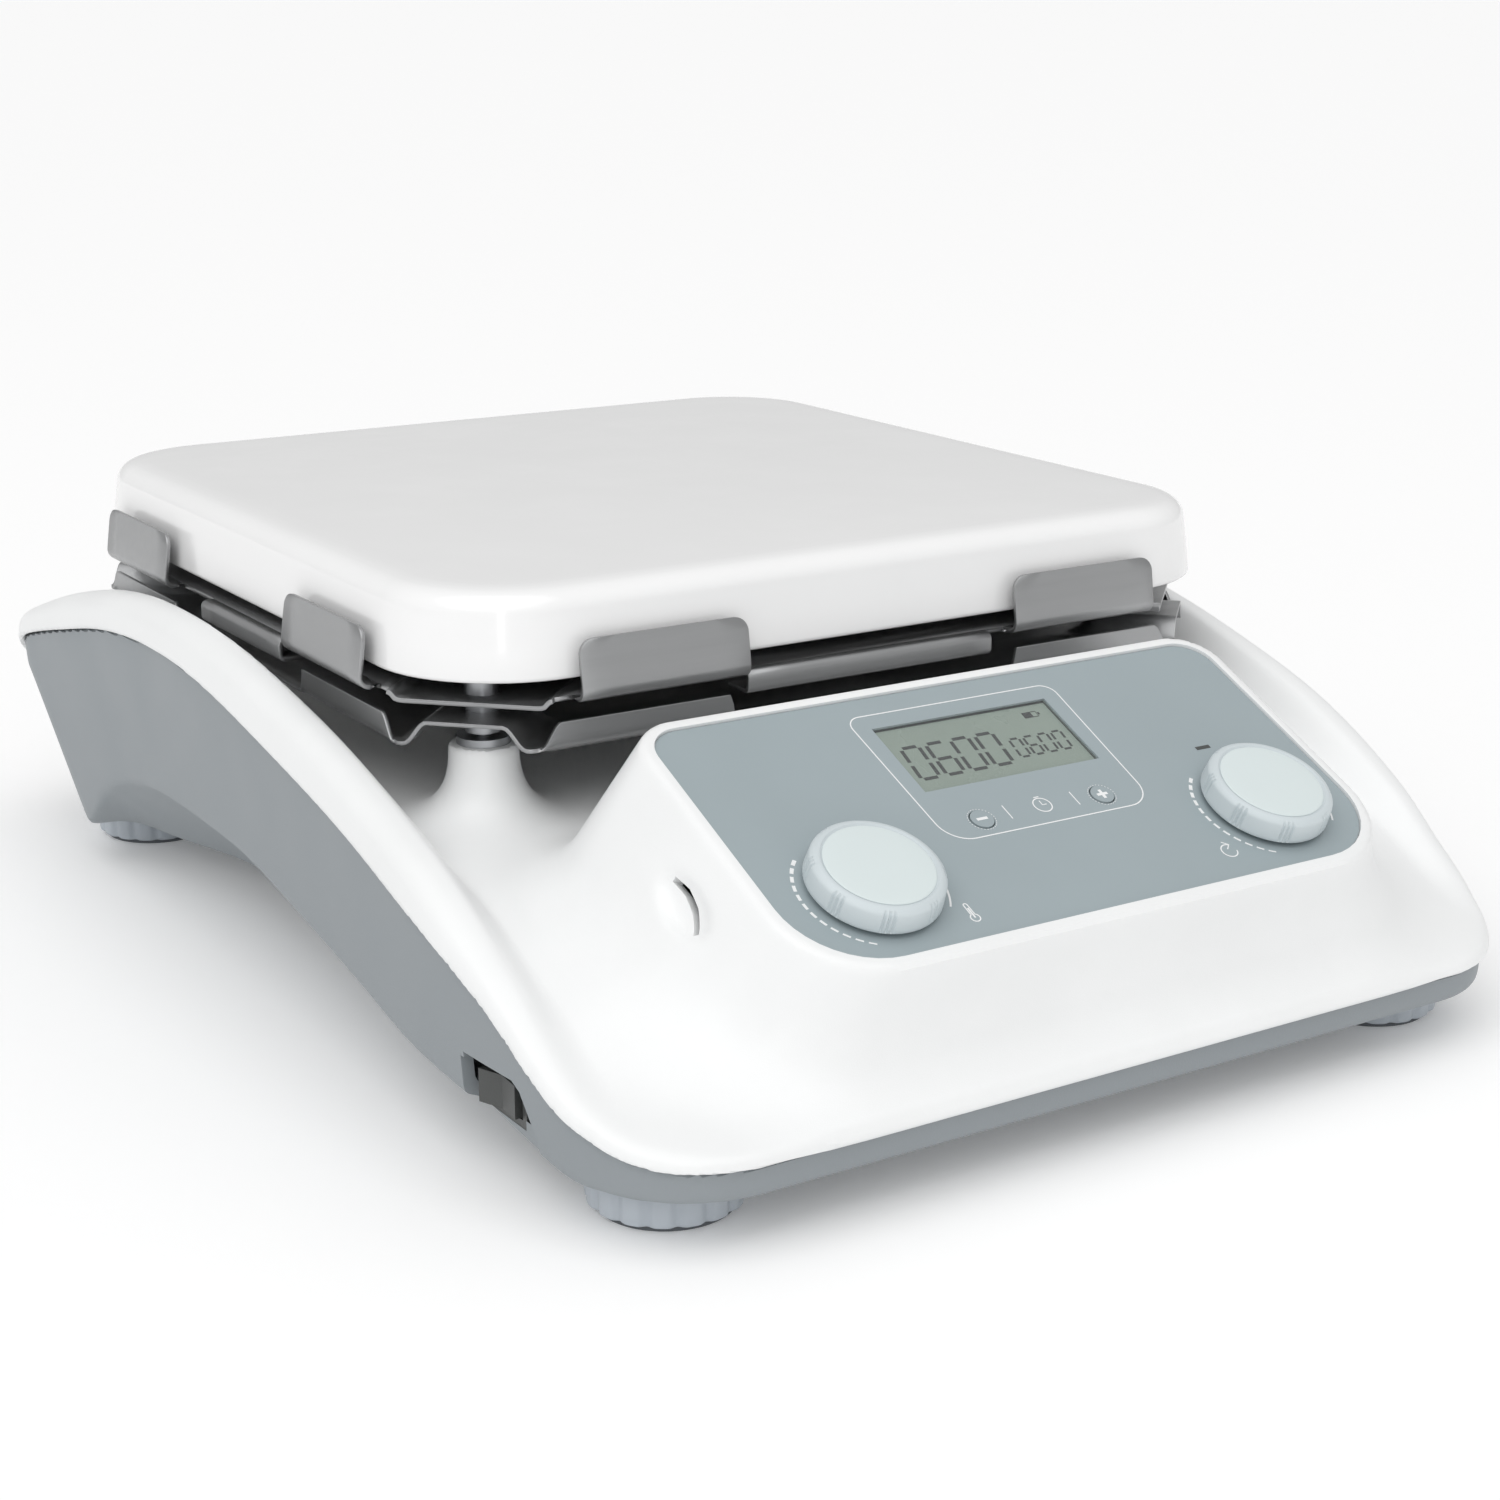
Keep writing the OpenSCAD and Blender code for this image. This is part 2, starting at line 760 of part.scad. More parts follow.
module motor_case() {
    color([0.35, 0.36, 0.38]) translate([0, plate_y, 0]) difference() {
        union() {
            translate([0, 0, motor_low_z]) cylinder(r = motor_r, h = motor_top_z - motor_low_z);
            translate([0, 0, motor_top_z]) cylinder(r = hub_r, h = bracket_t + 2);
        }
        translate([0, 0, motor_low_z + 2]) cylinder(r = motor_r - 2, h = motor_top_z - motor_low_z - 4);
        translate([0, 0, motor_low_z - 1]) cylinder(r = bearing_r, h = far);
    }
}

module motor_windings() {
    color("peru") translate([0, plate_y, motor_low_z + 6])
        ring(motor_r - 2, 17, motor_top_z - motor_low_z - 12);
}

module motor_bearings() {
    color("silver") translate([0, plate_y, 0])
        for (z = [motor_low_z, motor_top_z - 1]) translate([0, 0, z])
            ring(bearing_r, shaft_r + fit_gap, 5);
}

module motor_rotor() {
    color([0.3, 0.3, 0.32]) translate([0, plate_y, motor_low_z + 7])
        ring(16, shaft_r, motor_top_z - motor_low_z - 14);
}

module motor_shaft() {
    color("silver") translate([0, plate_y, motor_low_z + 0.5])
        cylinder(r = shaft_r, h = shaft_top_z - motor_low_z - 0.5);
}

module magnet_yoke() {
    color([0.5, 0.5, 0.52]) translate([0, plate_y, yoke_z]) difference() {
        union() {
            cylinder(r = yoke_r, h = yoke_t);
            translate([0, 0, -8]) cylinder(r = 7, h = 8);
        }
        translate([0, 0, -10]) cylinder(r = shaft_r, h = 20);
    }
}

module drive_magnets() {
    color([0.75, 0.75, 0.78]) for (sx = [-1, 1])
        translate([sx * magnet_x, plate_y, yoke_z + yoke_t]) cylinder(r = magnet_r, h = magnet_t);
}

// Panel

module panel_overlay() {
    color([0.65, 0.69, 0.72]) at_panel() difference() {
        translate([0, 0, -overlay_t]) linear_extrude(overlay_t) panel_outline();
        translate([-lcd_half_w, lcd_low, -2])
            cube([2 * lcd_half_w, lcd_high - lcd_low, 4]);
        for (sx = [-1, 1]) {
            translate([sx * button_x, button_s, -2]) cylinder(r = button_r + button_gap, h = 4);
            translate([sx * knob_x, knob_s, -2]) cylinder(r = panel_hole_r, h = 4);
        }
    }
}

module lcd_window() {
    color([0.8, 0.85, 0.85, 0.4]) at_panel() translate([-lcd_half_w, lcd_low, -overlay_t])
        cube([2 * lcd_half_w, lcd_high - lcd_low, overlay_t]);
}

module lcd_module() {
    color([0.6, 0.65, 0.6]) at_panel() {
        translate([-lcd_half_w - 1, lcd_low - 1, -overlay_t - 3.2])
            cube([2 * lcd_half_w + 2, lcd_high - lcd_low + 2, 2.8]);
        translate([-lcd_half_w - 5, lcd_low - 4, board_top_w])
            cube([2 * lcd_half_w + 10, lcd_high - lcd_low + 8, -overlay_t - 3.4 - board_top_w]);
        translate([-lcd_half_w, lcd_low, board_top_w])
            cube([2 * lcd_half_w, lcd_high - lcd_low, -overlay_t - 2 - board_top_w]);
    }
}

module display_board() {
    w = display_board_size[0];
    l = display_board_size[1];
    color("darkgreen") at_panel() translate([0, 11, board_w]) difference() {
        slab(w, l, board_t, 3);
        for (sx = [-1, 1], sy = [-1, 1])
            translate([sx * (w / 2 - 5), sy * (l / 2 - 5), -1]) cylinder(r = 1.6, h = 4);
    }
}

module button_switches() {
    color([0.2, 0.2, 0.2]) at_panel() for (sx = [-1, 1])
        translate([sx * button_x, button_s, board_top_w]) {
            translate([-3, -3, 0]) cube([6, 6, 3.5]);
            cylinder(r = 1.7, h = 4.5);
        }
}

// Small round key with a stem that reaches down to its switch
module panel_button(sx) {
    color([0.72, 0.75, 0.78]) at_panel() translate([sx * button_x, button_s, 0]) {
        translate([0, 0, -2.8]) cylinder(r = button_r, h = 3.1);
        translate([0, 0, -5.2]) cylinder(r = 2, h = 3);
    }
}

module minus_button() { panel_button(-1); }
module plus_button() { panel_button(1); }

// Fixed parts of the two rotary encoders: a square housing and a threaded bush
module encoder_housings() {
    color([0.5, 0.5, 0.52]) at_panel() for (sx = [-1, 1])
        translate([sx * knob_x, knob_s, board_top_w]) difference() {
            union() {
                translate([-encoder_side / 2, -encoder_side / 2, 0])
                    cube([encoder_side, encoder_side, 6]);
                cylinder(r = encoder_bush_r, h = encoder_bush_h);
            }
            translate([0, 0, -1]) cylinder(r = shaft_r + fit_gap, h = 20);
            translate([0, 0, encoder_ring_low - 0.3])
                cylinder(r = encoder_ring_r + 0.3, h = encoder_ring_h + 0.9);
        }
}

module encoder_ring(sx) {
    color([0.9, 0.9, 0.85]) at_panel()
        translate([sx * knob_x, knob_s, board_top_w + encoder_ring_low])
            ring(encoder_ring_r, shaft_r + fit_gap, encoder_ring_h);
}

module encoder_shaft(sx) {
    color("silver") at_panel() translate([sx * knob_x, knob_s, board_top_w + 0.9])
        cylinder(r = shaft_r, h = knob_h - 2 - board_top_w - 0.9);
}

// Low round knob with a chamfered rim, grouped grooves and a hub for the shaft
module knob(sx) {
    rim = 1;
    base = 1.3;
    color([0.82, 0.86, 0.87]) at_panel() translate([sx * knob_x, knob_s, 0]) difference() {
        rotate_extrude($fn = 96)
            polygon([[0, base], [knob_r, base], [knob_r, knob_h - rim], [knob_r - rim, knob_h],
                [knob_r - 2.4, knob_h], [knob_r - 2.6, knob_h - 0.3], [0, knob_h - 0.3]]);
        translate([0, 0, base - 1]) ring(knob_r - 2, 6, knob_h - base - 1.6);
        translate([0, 0, -1]) cylinder(r = shaft_r, h = knob_h - 1);
        for (k = [0:7], g = [-1:1]) rotate(k * 45 + 22.5 + g * 5)
            translate([knob_r + 0.35, 0, base - 1])
                cylinder(r = 0.7, h = knob_h - rim - base + 0.6, $fn = 16);
    }
}

module temp_encoder_ring() { encoder_ring(-1); }
module temp_encoder_shaft() { encoder_shaft(-1); }
module temp_knob() { knob(-1); }
module speed_encoder_ring() { encoder_ring(1); }
module speed_encoder_shaft() { encoder_shaft(1); }
module speed_knob() { knob(1); }

// Electronics

module board_pillars(at, size) {
    for (sx = [-1, 1], sy = [-1, 1])
        translate([at[0] + sx * (size[0] / 2 - 4), at[1] + sy * (size[1] / 2 - 4), floor_z])
            cylinder(r = 3, h = board_z - floor_z);
}

module circuit_board(at, size) {
    translate([at[0], at[1], board_z]) slab(size[0], size[1], 1.6, 2);
}

module main_board() {
    color("darkgreen") circuit_board(main_board_at, main_board_size);
    color([0.2, 0.2, 0.2]) translate([main_board_at[0], main_board_at[1], board_z + 1.6 - eps]) {
        translate([-10, -12, 0]) cube([14, 14, 2]);
        translate([30, -20, 0]) cube([24, 12, 9]);
        translate([-55, 5, 0]) cube([18, 20, 12]);
        translate([20, 15, 0]) cube([30, 8, 7]);
    }
}

module power_board() {
    color("darkgreen") circuit_board(power_board_at, power_board_size);
    color([0.15, 0.15, 0.3]) translate([power_board_at[0], power_board_at[1], board_z + 1.6 - eps]) {
        translate([-50, -20, 0]) cube([32, 28, 22]);
        translate([-8, -20, 0]) cube([16, 20, 15]);
        translate([18, 16, 0]) cylinder(r = 8, h = 20);
        translate([38, 16, 0]) cylinder(r = 6, h = 16);
    }
}

module heat_sink() {
    color("silver") translate([power_board_at[0] + 18, power_board_at[1] - 24, board_z + 1.6]) {
        cube([36, 3, 22]);
        for (k = [0:5]) translate([k * 6.8, 3 - eps, 0]) cube([2, 14, 22]);
    }
}

// Rear connections

// Three-pin appliance inlet with a fuse drawer above its mouth
module power_inlet() {
    color([0.12, 0.12, 0.12]) translate([inlet_x, bay_y, inlet_z]) rotate([-90, 0, 0]) difference() {
        union() {
            linear_extrude(2.5) rounded_rect(31, 25, 2);
            translate([0, 0, -22]) linear_extrude(23) square([inlet_w, inlet_h], center = true);
        }
        translate([0, 2.2, -16]) linear_extrude(20) square([24.4, 12], center = true);
        translate([-fuse_w / 2 - 0.3, -9.1, -14]) cube([fuse_w + 0.6, 4.8, 20]);
    }
    color("silver") translate([inlet_x, bay_y, inlet_z - 2.2]) for (p = [[-7, -1.5], [0, 2], [7, -1.5]])
        translate([p[0] - 1, -17, p[1] - 2]) cube([2, 16, 4]);
}

module fuse_drawer() {
    color([0.2, 0.2, 0.2]) translate([inlet_x - fuse_w / 2, bay_y - 13, inlet_z + 4.6]) {
        cube([fuse_w, 15.5, 4.2]);
        translate([2, 15, 0.6]) cube([fuse_w - 4, 2.2, 3]);
    }
}

// Temperature probe socket and serial connector
module rear_sockets() {
    color("silver") translate([socket_x, bay_y, socket_z]) rotate([-90, 0, 0]) {
        ring(socket_r + 2, socket_bore_r, 2.5);
        translate([0, 0, -12]) difference() {
            cylinder(r = socket_r, h = 13);
            translate([0, 0, 3]) cylinder(r = socket_bore_r, h = 20);
        }
    }
    color([0.3, 0.4, 0.6]) translate([serial_x, bay_y, socket_z]) rotate([-90, 0, 0]) difference() {
        union() {
            linear_extrude(1) rounded_rect(31, 12.5, 2);
            translate([0, 0, -10]) linear_extrude(16) square([serial_w, serial_h], center = true);
        }
        translate([0, 0, -1]) linear_extrude(20) square([serial_w - 2.2, serial_h - 2.2], center = true);
    }
}

// Threaded bush that takes the support rod
module rod_socket() {
    color("silver") translate([rod_x, bay_y, rod_z]) rotate([-90, 0, 0]) difference() {
        union() {
            cylinder(r = rod_bush_r + 3, h = 2.5);
            translate([0, 0, -22]) cylinder(r = rod_bush_r, h = 23);
        }
        translate([0, 0, -20]) cylinder(r = rod_bore_r, h = 30);
    }
}

// Power switch

module switch_frame() {
    color([0.2, 0.2, 0.2]) translate([switch_x, switch_y, switch_z]) difference() {
        union() {
            translate([-2, -switch_l / 2, -switch_h / 2]) cube([2, switch_l, switch_h]);
            translate([-1, -switch_l / 2 + 1, -switch_h / 2 + 1]) cube([13, switch_l - 2, switch_h - 2]);
        }
        translate([-5, -switch_l / 2 + 2, -switch_h / 2 + 2]) cube([12.5, switch_l - 4, switch_h - 4]);
        translate([1, 0, -20]) cylinder(r = switch_pivot_r + fit_gap, h = 40, $fn = 32);
    }
}

// Rocker at rest with its front half standing out
module power_rocker() {
    l = switch_l - 7;
    h = switch_h - 4.6;
    color([0.28, 0.28, 0.27]) translate([switch_x + 1, switch_y, switch_z])
        rotate([0, 0, rocker_tilt]) {
            translate([0, 0, -h / 2]) linear_extrude(h)
                polygon([[-5.8, -l / 2], [-4.2, 0], [-5.8, l / 2], [-1, l / 2],
                    [2, 2], [2, -2], [-1, -l / 2]]);
            translate([0, 0, -switch_h / 2 + 1])
                cylinder(r = switch_pivot_r, h = switch_h - 2, $fn = 32);
        }
}

lower_case();
upper_housing();
housing_screws();
foot_inserts();
front_left_foot_pad();
front_left_foot_wheel();
front_left_foot_stud();
front_right_foot_pad();
front_right_foot_wheel();
front_right_foot_stud();
rear_left_foot_pad();
rear_left_foot_wheel();
rear_left_foot_stud();
rear_right_foot_pad();
rear_right_foot_wheel();
rear_right_foot_stud();
top_plate();
heating_element();
plate_sensor();
insulation_mat();
inner_pan();
clip_carrier();
heat_shield();
post_washers();
lower_spacers();
upper_spacers();
plate_screws();
heater_leads();
lead_grommet();
motor_bracket();
motor_case();
motor_windings();
motor_bearings();
motor_rotor();
motor_shaft();
magnet_yoke();
drive_magnets();
panel_overlay();
lcd_window();
lcd_module();
display_board();
button_switches();
minus_button();
plus_button();
encoder_housings();
temp_encoder_ring();
temp_encoder_shaft();
temp_knob();
speed_encoder_ring();
speed_encoder_shaft();
speed_knob();
main_board();
power_board();
heat_sink();
power_inlet();
fuse_drawer();
rear_sockets();
rod_socket();
switch_frame();
power_rocker();
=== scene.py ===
"""A laboratory hotplate stirrer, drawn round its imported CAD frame. Lengths are metres."""
import math

import bmesh
import bpy
import numpy as np
from mathutils import Matrix, Vector

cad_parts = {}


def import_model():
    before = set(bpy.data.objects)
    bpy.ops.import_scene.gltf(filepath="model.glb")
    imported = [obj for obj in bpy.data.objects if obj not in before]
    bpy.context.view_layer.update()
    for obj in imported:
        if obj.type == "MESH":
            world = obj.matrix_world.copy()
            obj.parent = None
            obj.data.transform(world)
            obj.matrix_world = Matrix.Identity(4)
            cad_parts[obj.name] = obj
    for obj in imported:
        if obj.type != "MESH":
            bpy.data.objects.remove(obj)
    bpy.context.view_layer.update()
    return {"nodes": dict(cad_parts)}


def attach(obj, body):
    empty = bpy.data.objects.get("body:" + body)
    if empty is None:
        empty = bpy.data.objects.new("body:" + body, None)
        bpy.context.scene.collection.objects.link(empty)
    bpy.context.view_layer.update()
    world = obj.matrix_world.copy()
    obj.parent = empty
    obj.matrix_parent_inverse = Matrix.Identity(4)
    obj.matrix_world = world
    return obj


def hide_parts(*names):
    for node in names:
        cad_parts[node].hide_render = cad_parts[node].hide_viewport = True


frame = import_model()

MM = 0.001


# ---------------------------------------------------------------- camera, lights and floor
def camera():
    data = bpy.data.cameras.new("camera")
    data.sensor_width = 36.0
    data.lens = 62.8206
    data.shift_x = -0.0110
    data.shift_y = 0.0006
    data.clip_start = 0.01
    obj = bpy.data.objects.new("camera", data)
    bpy.context.scene.collection.objects.link(obj)
    yaw, pitch, roll = (math.radians(a) for a in (32.999, 16.356, 0.186))
    ahead = Vector((math.sin(yaw) * math.cos(pitch), math.cos(yaw) * math.cos(pitch),
                    -math.sin(pitch)))
    right = Vector((math.cos(yaw), -math.sin(yaw), 0))
    up = right.cross(ahead)
    right_r = right * math.cos(roll) + up * math.sin(roll)
    up_r = up * math.cos(roll) - right * math.sin(roll)
    turn = Matrix((right_r, up_r, -ahead)).transposed().to_4x4()
    obj.matrix_world = Matrix.Translation(Vector((-0.39299, -0.64462, 0.26969))) @ turn
    bpy.context.scene.camera = obj


def area_light(name, place, target, size, power, tint=(1, 1, 1)):
    data = bpy.data.lights.new(name, "AREA")
    data.shape = "RECTANGLE"
    data.size, data.size_y = size
    data.energy = power
    data.color = tint
    obj = bpy.data.objects.new(name, data)
    bpy.context.scene.collection.objects.link(obj)
    place, target = Vector(place), Vector(target)
    turn = (target - place).to_track_quat("-Z", "Y").to_matrix().to_4x4()
    obj.matrix_world = Matrix.Translation(place) @ turn


def sun():
    """One broad soft light over the whole floor."""
    data = bpy.data.lights.new("sun", "SUN")
    data.energy = 1.2
    data.angle = math.radians(75)
    obj = bpy.data.objects.new("sun", data)
    obj.rotation_euler = Vector((-0.3, -0.35, 1.0)).to_track_quat("Z", "Y").to_euler()
    bpy.context.scene.collection.objects.link(obj)


def floor():
    data = bpy.data.meshes.new("floor")
    bm = bmesh.new()
    half = 60.0
    corners = ((-half, -half), (half, -half), (half, half), (-half, half))
    bm.faces.new([bm.verts.new((x, y, 0)) for x, y in corners])
    bm.to_mesh(data)
    bm.free()
    obj = bpy.data.objects.new("floor", data)
    bpy.context.scene.collection.objects.link(obj)
    data.materials.append(FINISH["floor"])


def world():
    w = bpy.data.worlds.new("world")
    bpy.context.scene.world = w
    w.use_nodes = True
    back = w.node_tree.nodes["Background"]
    back.inputs["Color"].default_value = (1.0, 1.0, 1.0, 1.0)
    back.inputs["Strength"].default_value = 0.56
    bpy.context.scene.view_settings.view_transform = "Standard"


# ---------------------------------------------------------------- finishes
FINISH = {}


def finish(name, colour, rough, metallic=0.0, coat=0.0, spread=0.03, rough_spread=0.06,
           grain=0.0, grain_size=0.6, mottle_size=30.0, stretch=(1, 1, 1), ior=1.5):
    """A plastic, metal or paint: a little variation of colour and roughness, with a fine surface grain."""
    m = bpy.data.materials.new(name)
    m.use_nodes = True
    nodes, links = m.node_tree.nodes, m.node_tree.links
    shader = nodes["Principled BSDF"]
    where = nodes.new("ShaderNodeTexCoord")
    shader.inputs["Metallic"].default_value = metallic
    shader.inputs["IOR"].default_value = ior
    shader.inputs["Coat Weight"].default_value = coat
    shader.inputs["Coat Roughness"].default_value = 0.08
    mapping = nodes.new("ShaderNodeMapping")
    mapping.inputs["Scale"].default_value = stretch
    links.new(where.outputs["Object"], mapping.inputs["Vector"])
    cloud = nodes.new("ShaderNodeTexNoise")
    cloud.inputs["Scale"].default_value = 1000.0 / mottle_size
    cloud.inputs["Detail"].default_value = 4.0
    links.new(mapping.outputs["Vector"], cloud.inputs["Vector"])
    ramp = nodes.new("ShaderNodeValToRGB")
    low = [c * (1 - spread) for c in colour]
    high = [min(1.0, c * (1 + spread)) for c in colour]
    ramp.color_ramp.elements[0].position = 0.3
    ramp.color_ramp.elements[1].position = 0.7
    ramp.color_ramp.elements[0].color = (*low, 1)
    ramp.color_ramp.elements[1].color = (*high, 1)
    links.new(cloud.outputs["Fac"], ramp.inputs["Fac"])
    links.new(ramp.outputs["Color"], shader.inputs["Base Color"])
    fine = nodes.new("ShaderNodeTexNoise")
    fine.inputs["Scale"].default_value = 1000.0 / grain_size
    fine.inputs["Detail"].default_value = 2.0
    links.new(mapping.outputs["Vector"], fine.inputs["Vector"])
    spread_node = nodes.new("ShaderNodeMapRange")
    spread_node.inputs["From Min"].default_value = 0.3
    spread_node.inputs["From Max"].default_value = 0.7
    spread_node.inputs["To Min"].default_value = max(0.02, rough - rough_spread)
    spread_node.inputs["To Max"].default_value = min(1.0, rough + rough_spread)
    links.new(cloud.outputs["Fac"], spread_node.inputs["Value"])
    links.new(spread_node.outputs["Result"], shader.inputs["Roughness"])
    if grain > 0:
        bump = nodes.new("ShaderNodeBump")
        bump.inputs["Strength"].default_value = grain
        bump.inputs["Distance"].default_value = 0.0002
        links.new(fine.outputs["Fac"], bump.inputs["Height"])
        links.new(bump.outputs["Normal"], shader.inputs["Normal"])
    FINISH[name] = m
    return m


def srgb(*c):
    """Linear colour of 0-255 screen values."""
    out = []
    for v in c:
        v = v / 255.0
        out.append(v / 12.92 if v <= 0.04045 else ((v + 0.055) / 1.055) ** 2.4)
    return out


def finishes():
    ground = finish("floor", srgb(250, 250, 250), 0.9, spread=0, rough_spread=0,
                    grain=0.02, grain_size=4)
    ground_inputs = ground.node_tree.nodes["Principled BSDF"].inputs
    ground_inputs["Emission Color"].default_value = (1, 1, 1, 1)
    ground_inputs["Emission Strength"].default_value = 0.1
    finish("housing_white", srgb(242, 243, 243), 0.36, spread=0.012, grain=0.10, grain_size=0.35)
    finish("case_grey", srgb(143, 149, 153), 0.48, spread=0.02, grain=0.25, grain_size=0.4)
    finish("overlay_grey", srgb(158, 170, 174), 0.42, spread=0.015, grain=0.12, grain_size=0.25)
    finish("plate_white", srgb(246, 246, 246), 0.2, coat=0.5, spread=0.006, rough_spread=0.02,
           grain=0.02, grain_size=1.5)
    clear = finish("lcd_clear", srgb(215, 222, 222), 0.08)
    clear.node_tree.nodes["Principled BSDF"].inputs["Alpha"].default_value = 0.06
    finish("lcd_green", srgb(138, 151, 141), 0.30, spread=0.02)
    finish("circuit_green", srgb(24, 92, 54), 0.4)
    finish("black_plastic", srgb(28, 28, 30), 0.42, grain=0.3, grain_size=0.4)
    finish("dark_grey_plastic", srgb(72, 74, 73), 0.42, grain=0.3, grain_size=0.4)
    finish("knob_grey", srgb(205, 214, 217), 0.40, spread=0.015, grain=0.15, grain_size=0.3)
    finish("cap_grey", srgb(218, 228, 228), 0.38, spread=0.01, grain=0.1, grain_size=0.3)
    finish("foot_grey", srgb(186, 193, 200), 0.45, spread=0.02, grain=0.15, grain_size=0.4)
    finish("rubber_grey", srgb(96, 100, 104), 0.7, grain=0.4, grain_size=0.5)
    finish("stainless", srgb(166, 167, 168), 0.34, metallic=0.92, spread=0.03, grain=0.12,
           grain_size=0.5, stretch=(1, 14, 14))
    finish("steel", srgb(170, 172, 175), 0.36, metallic=1.0)
    finish("aluminium", srgb(200, 202, 205), 0.32, metallic=1.0)
    finish("brass", srgb(205, 170, 100), 0.3, metallic=1.0)
    finish("copper", srgb(200, 120, 80), 0.32, metallic=1.0)
    finish("motor_dark", srgb(45, 47, 50), 0.5)
    finish("magnet_nickel", srgb(195, 193, 185), 0.25, metallic=1.0)
    finish("fibre_mat", srgb(228, 224, 212), 0.9, grain=0.8, grain_size=0.5)
    finish("mica", srgb(190, 165, 120), 0.5)


def dress_cad():
    """Every carried-over CAD node takes the finish of its material slot."""
    for name, obj in frame["nodes"].items():
        slots = obj.material_slots
        for s in slots:
            key = (s.material.name if s.material else "").split(".")[0]
            found = FINISH.get(key)
            if found is None:
                print("no finish for", name, key)
                found = FINISH["steel"]
            s.material = found


# ---------------------------------------------------------------- smooth moulded shells, in millimetres
def curve(knots, n=24):
    """Smooth curve through knots, as dense y and z arrays."""
    k = np.array(knots, float)
    rows = []
    for i in range(len(k) - 1):
        a, b, c, d = k[max(i - 1, 0)], k[i], k[i + 1], k[min(i + 2, len(k) - 1)]
        t = np.arange(n)[:, None] / n
        rows.append(0.5 * (2 * b + (c - a) * t + (2 * a - 5 * b + 4 * c - d) * t ** 2
                           + (3 * b - a - 3 * c + d) * t ** 3))
    rows.append(k[-1:])
    points = np.concatenate(rows)
    return points[:, 0], points[:, 1]


# Side profiles as (y, z): the wings' crest, the seam between the shells, and the deck between the wings.
CREST = curve([(-206, 24.5), (-195, 27), (-180, 32.5), (-165, 41.5), (-145, 55), (-112, 71.2),
               (-75, 83), (-41, 91), (5, 98), (50, 100), (90, 97), (130, 89), (165, 78.5),
               (180, 72.5), (192, 65.5), (200, 59), (206, 52)])
SEAM = curve([(-206, 20.5), (-195, 21.5), (-180, 26.5), (-165, 34.5), (-145, 47), (-115, 59),
              (-80, 69.5), (-40, 78), (10, 86.5), (50, 89), (90, 86), (130, 78), (165, 69.5),
              (180, 63), (192, 55), (200, 47.5), (206, 40)])
DECK = curve([(-206, 24.5), (-190, 28), (-170, 34.5), (-150, 45), (-125, 56), (-100, 63),
              (-70, 66), (-30, 66), (130, 66), (160, 66), (185, 63), (200, 58), (206, 52)])

TILT = math.radians(24.5)          # slope of the control panel
PANEL_AT = (0.0, -165.0, 74.5)     # the panel's origin
PLATE_Y = 35.0                     # the plate's axis
KNOB_X, KNOB_S = 61, -14.4         # knobs, across the panel and up its slope
KEY_X, KEY_S = 18.9, 0.2           # minus and plus keys
FLANK_X, FLANK_DEPTH = 98.8, 12    # the slot in the console's left flank
FOOT_AT = {"front_left": (-112, -170), "front_right": (112, -170),
           "rear_left": (-112, 158), "rear_right": (112, 158)}
SCREW_AT = ((-112, -140), (112, -140), (-88, -40), (88, -40), (-88, 96), (88, 96))


def along(profile, y):
    return np.interp(y, *profile)


def smin(a, b, k):
    h = np.maximum(k - np.abs(a - b), 0) / k
    return np.minimum(a, b) - h * h * k / 4


def smax(a, b, k):
    return -smin(-a, -b, k)


def step01(t):
    t = np.clip(t, 0, 1)
    return t * t * (3 - 2 * t)


def round_box(px, py, bx, by, r):
    """Distance to a rectangle of half sizes bx and by with corner radius r."""
    qx, qy = px - bx + r, py - by + r
    outside = np.hypot(np.maximum(qx, 0), np.maximum(qy, 0))
    return np.minimum(np.maximum(qx, qy), 0) + outside - r


def plan_distance(x, y):
    """Distance outside the body's plan outline, negative inside."""
    side = 142 + 8 * np.sin(math.pi / 2 * np.clip((y + 182) / 82, 0, 1))
    r = 36 + 4 * step01((y + 100) / 200)
    return round_box(np.abs(x) + 150 - side, np.abs(y), 150.0, 206.0, r)


def to_panel(x, y, z):
    dy, dz = y - PANEL_AT[1], z - PANEL_AT[2]
    c, s = math.cos(TILT), math.sin(TILT)
    return x, dy * c + dz * s, dz * c - dy * s


def panel_distance(x, s, grow, flare):
    """Distance outside the panel's rounded outline, grown by grow, with its sides spread by flare."""
    middle, half = 6.55, 43.35
    r = np.where(s < middle, 22 + 0.35 * flare, 9 + 0.5 * flare) + grow
    return round_box(np.abs(x), np.abs(s - middle), 88 + grow + flare, half + grow, r)


def base_top(x, y):
    """Height of the housing's upper surface without console and posts."""
    deck, crest, rim = along(DECK, y), along(CREST, y), along(SEAM, y) + 2.6
    inner = deck + (crest - deck) * step01((np.abs(x) - 129) / 11)
    t = np.clip(1 + plan_distance(x, y) / 9, 0, 1)
    return rim + (inner - rim) * np.sqrt(np.maximum(1 - t ** 2.4, 0.0))


def steepness(height, x, y):
    """Slope of a height field at x, y."""
    return np.hypot(height(x + 0.5, y) - height(x - 0.5, y), height(x, y + 0.5) - height(x, y - 0.5))


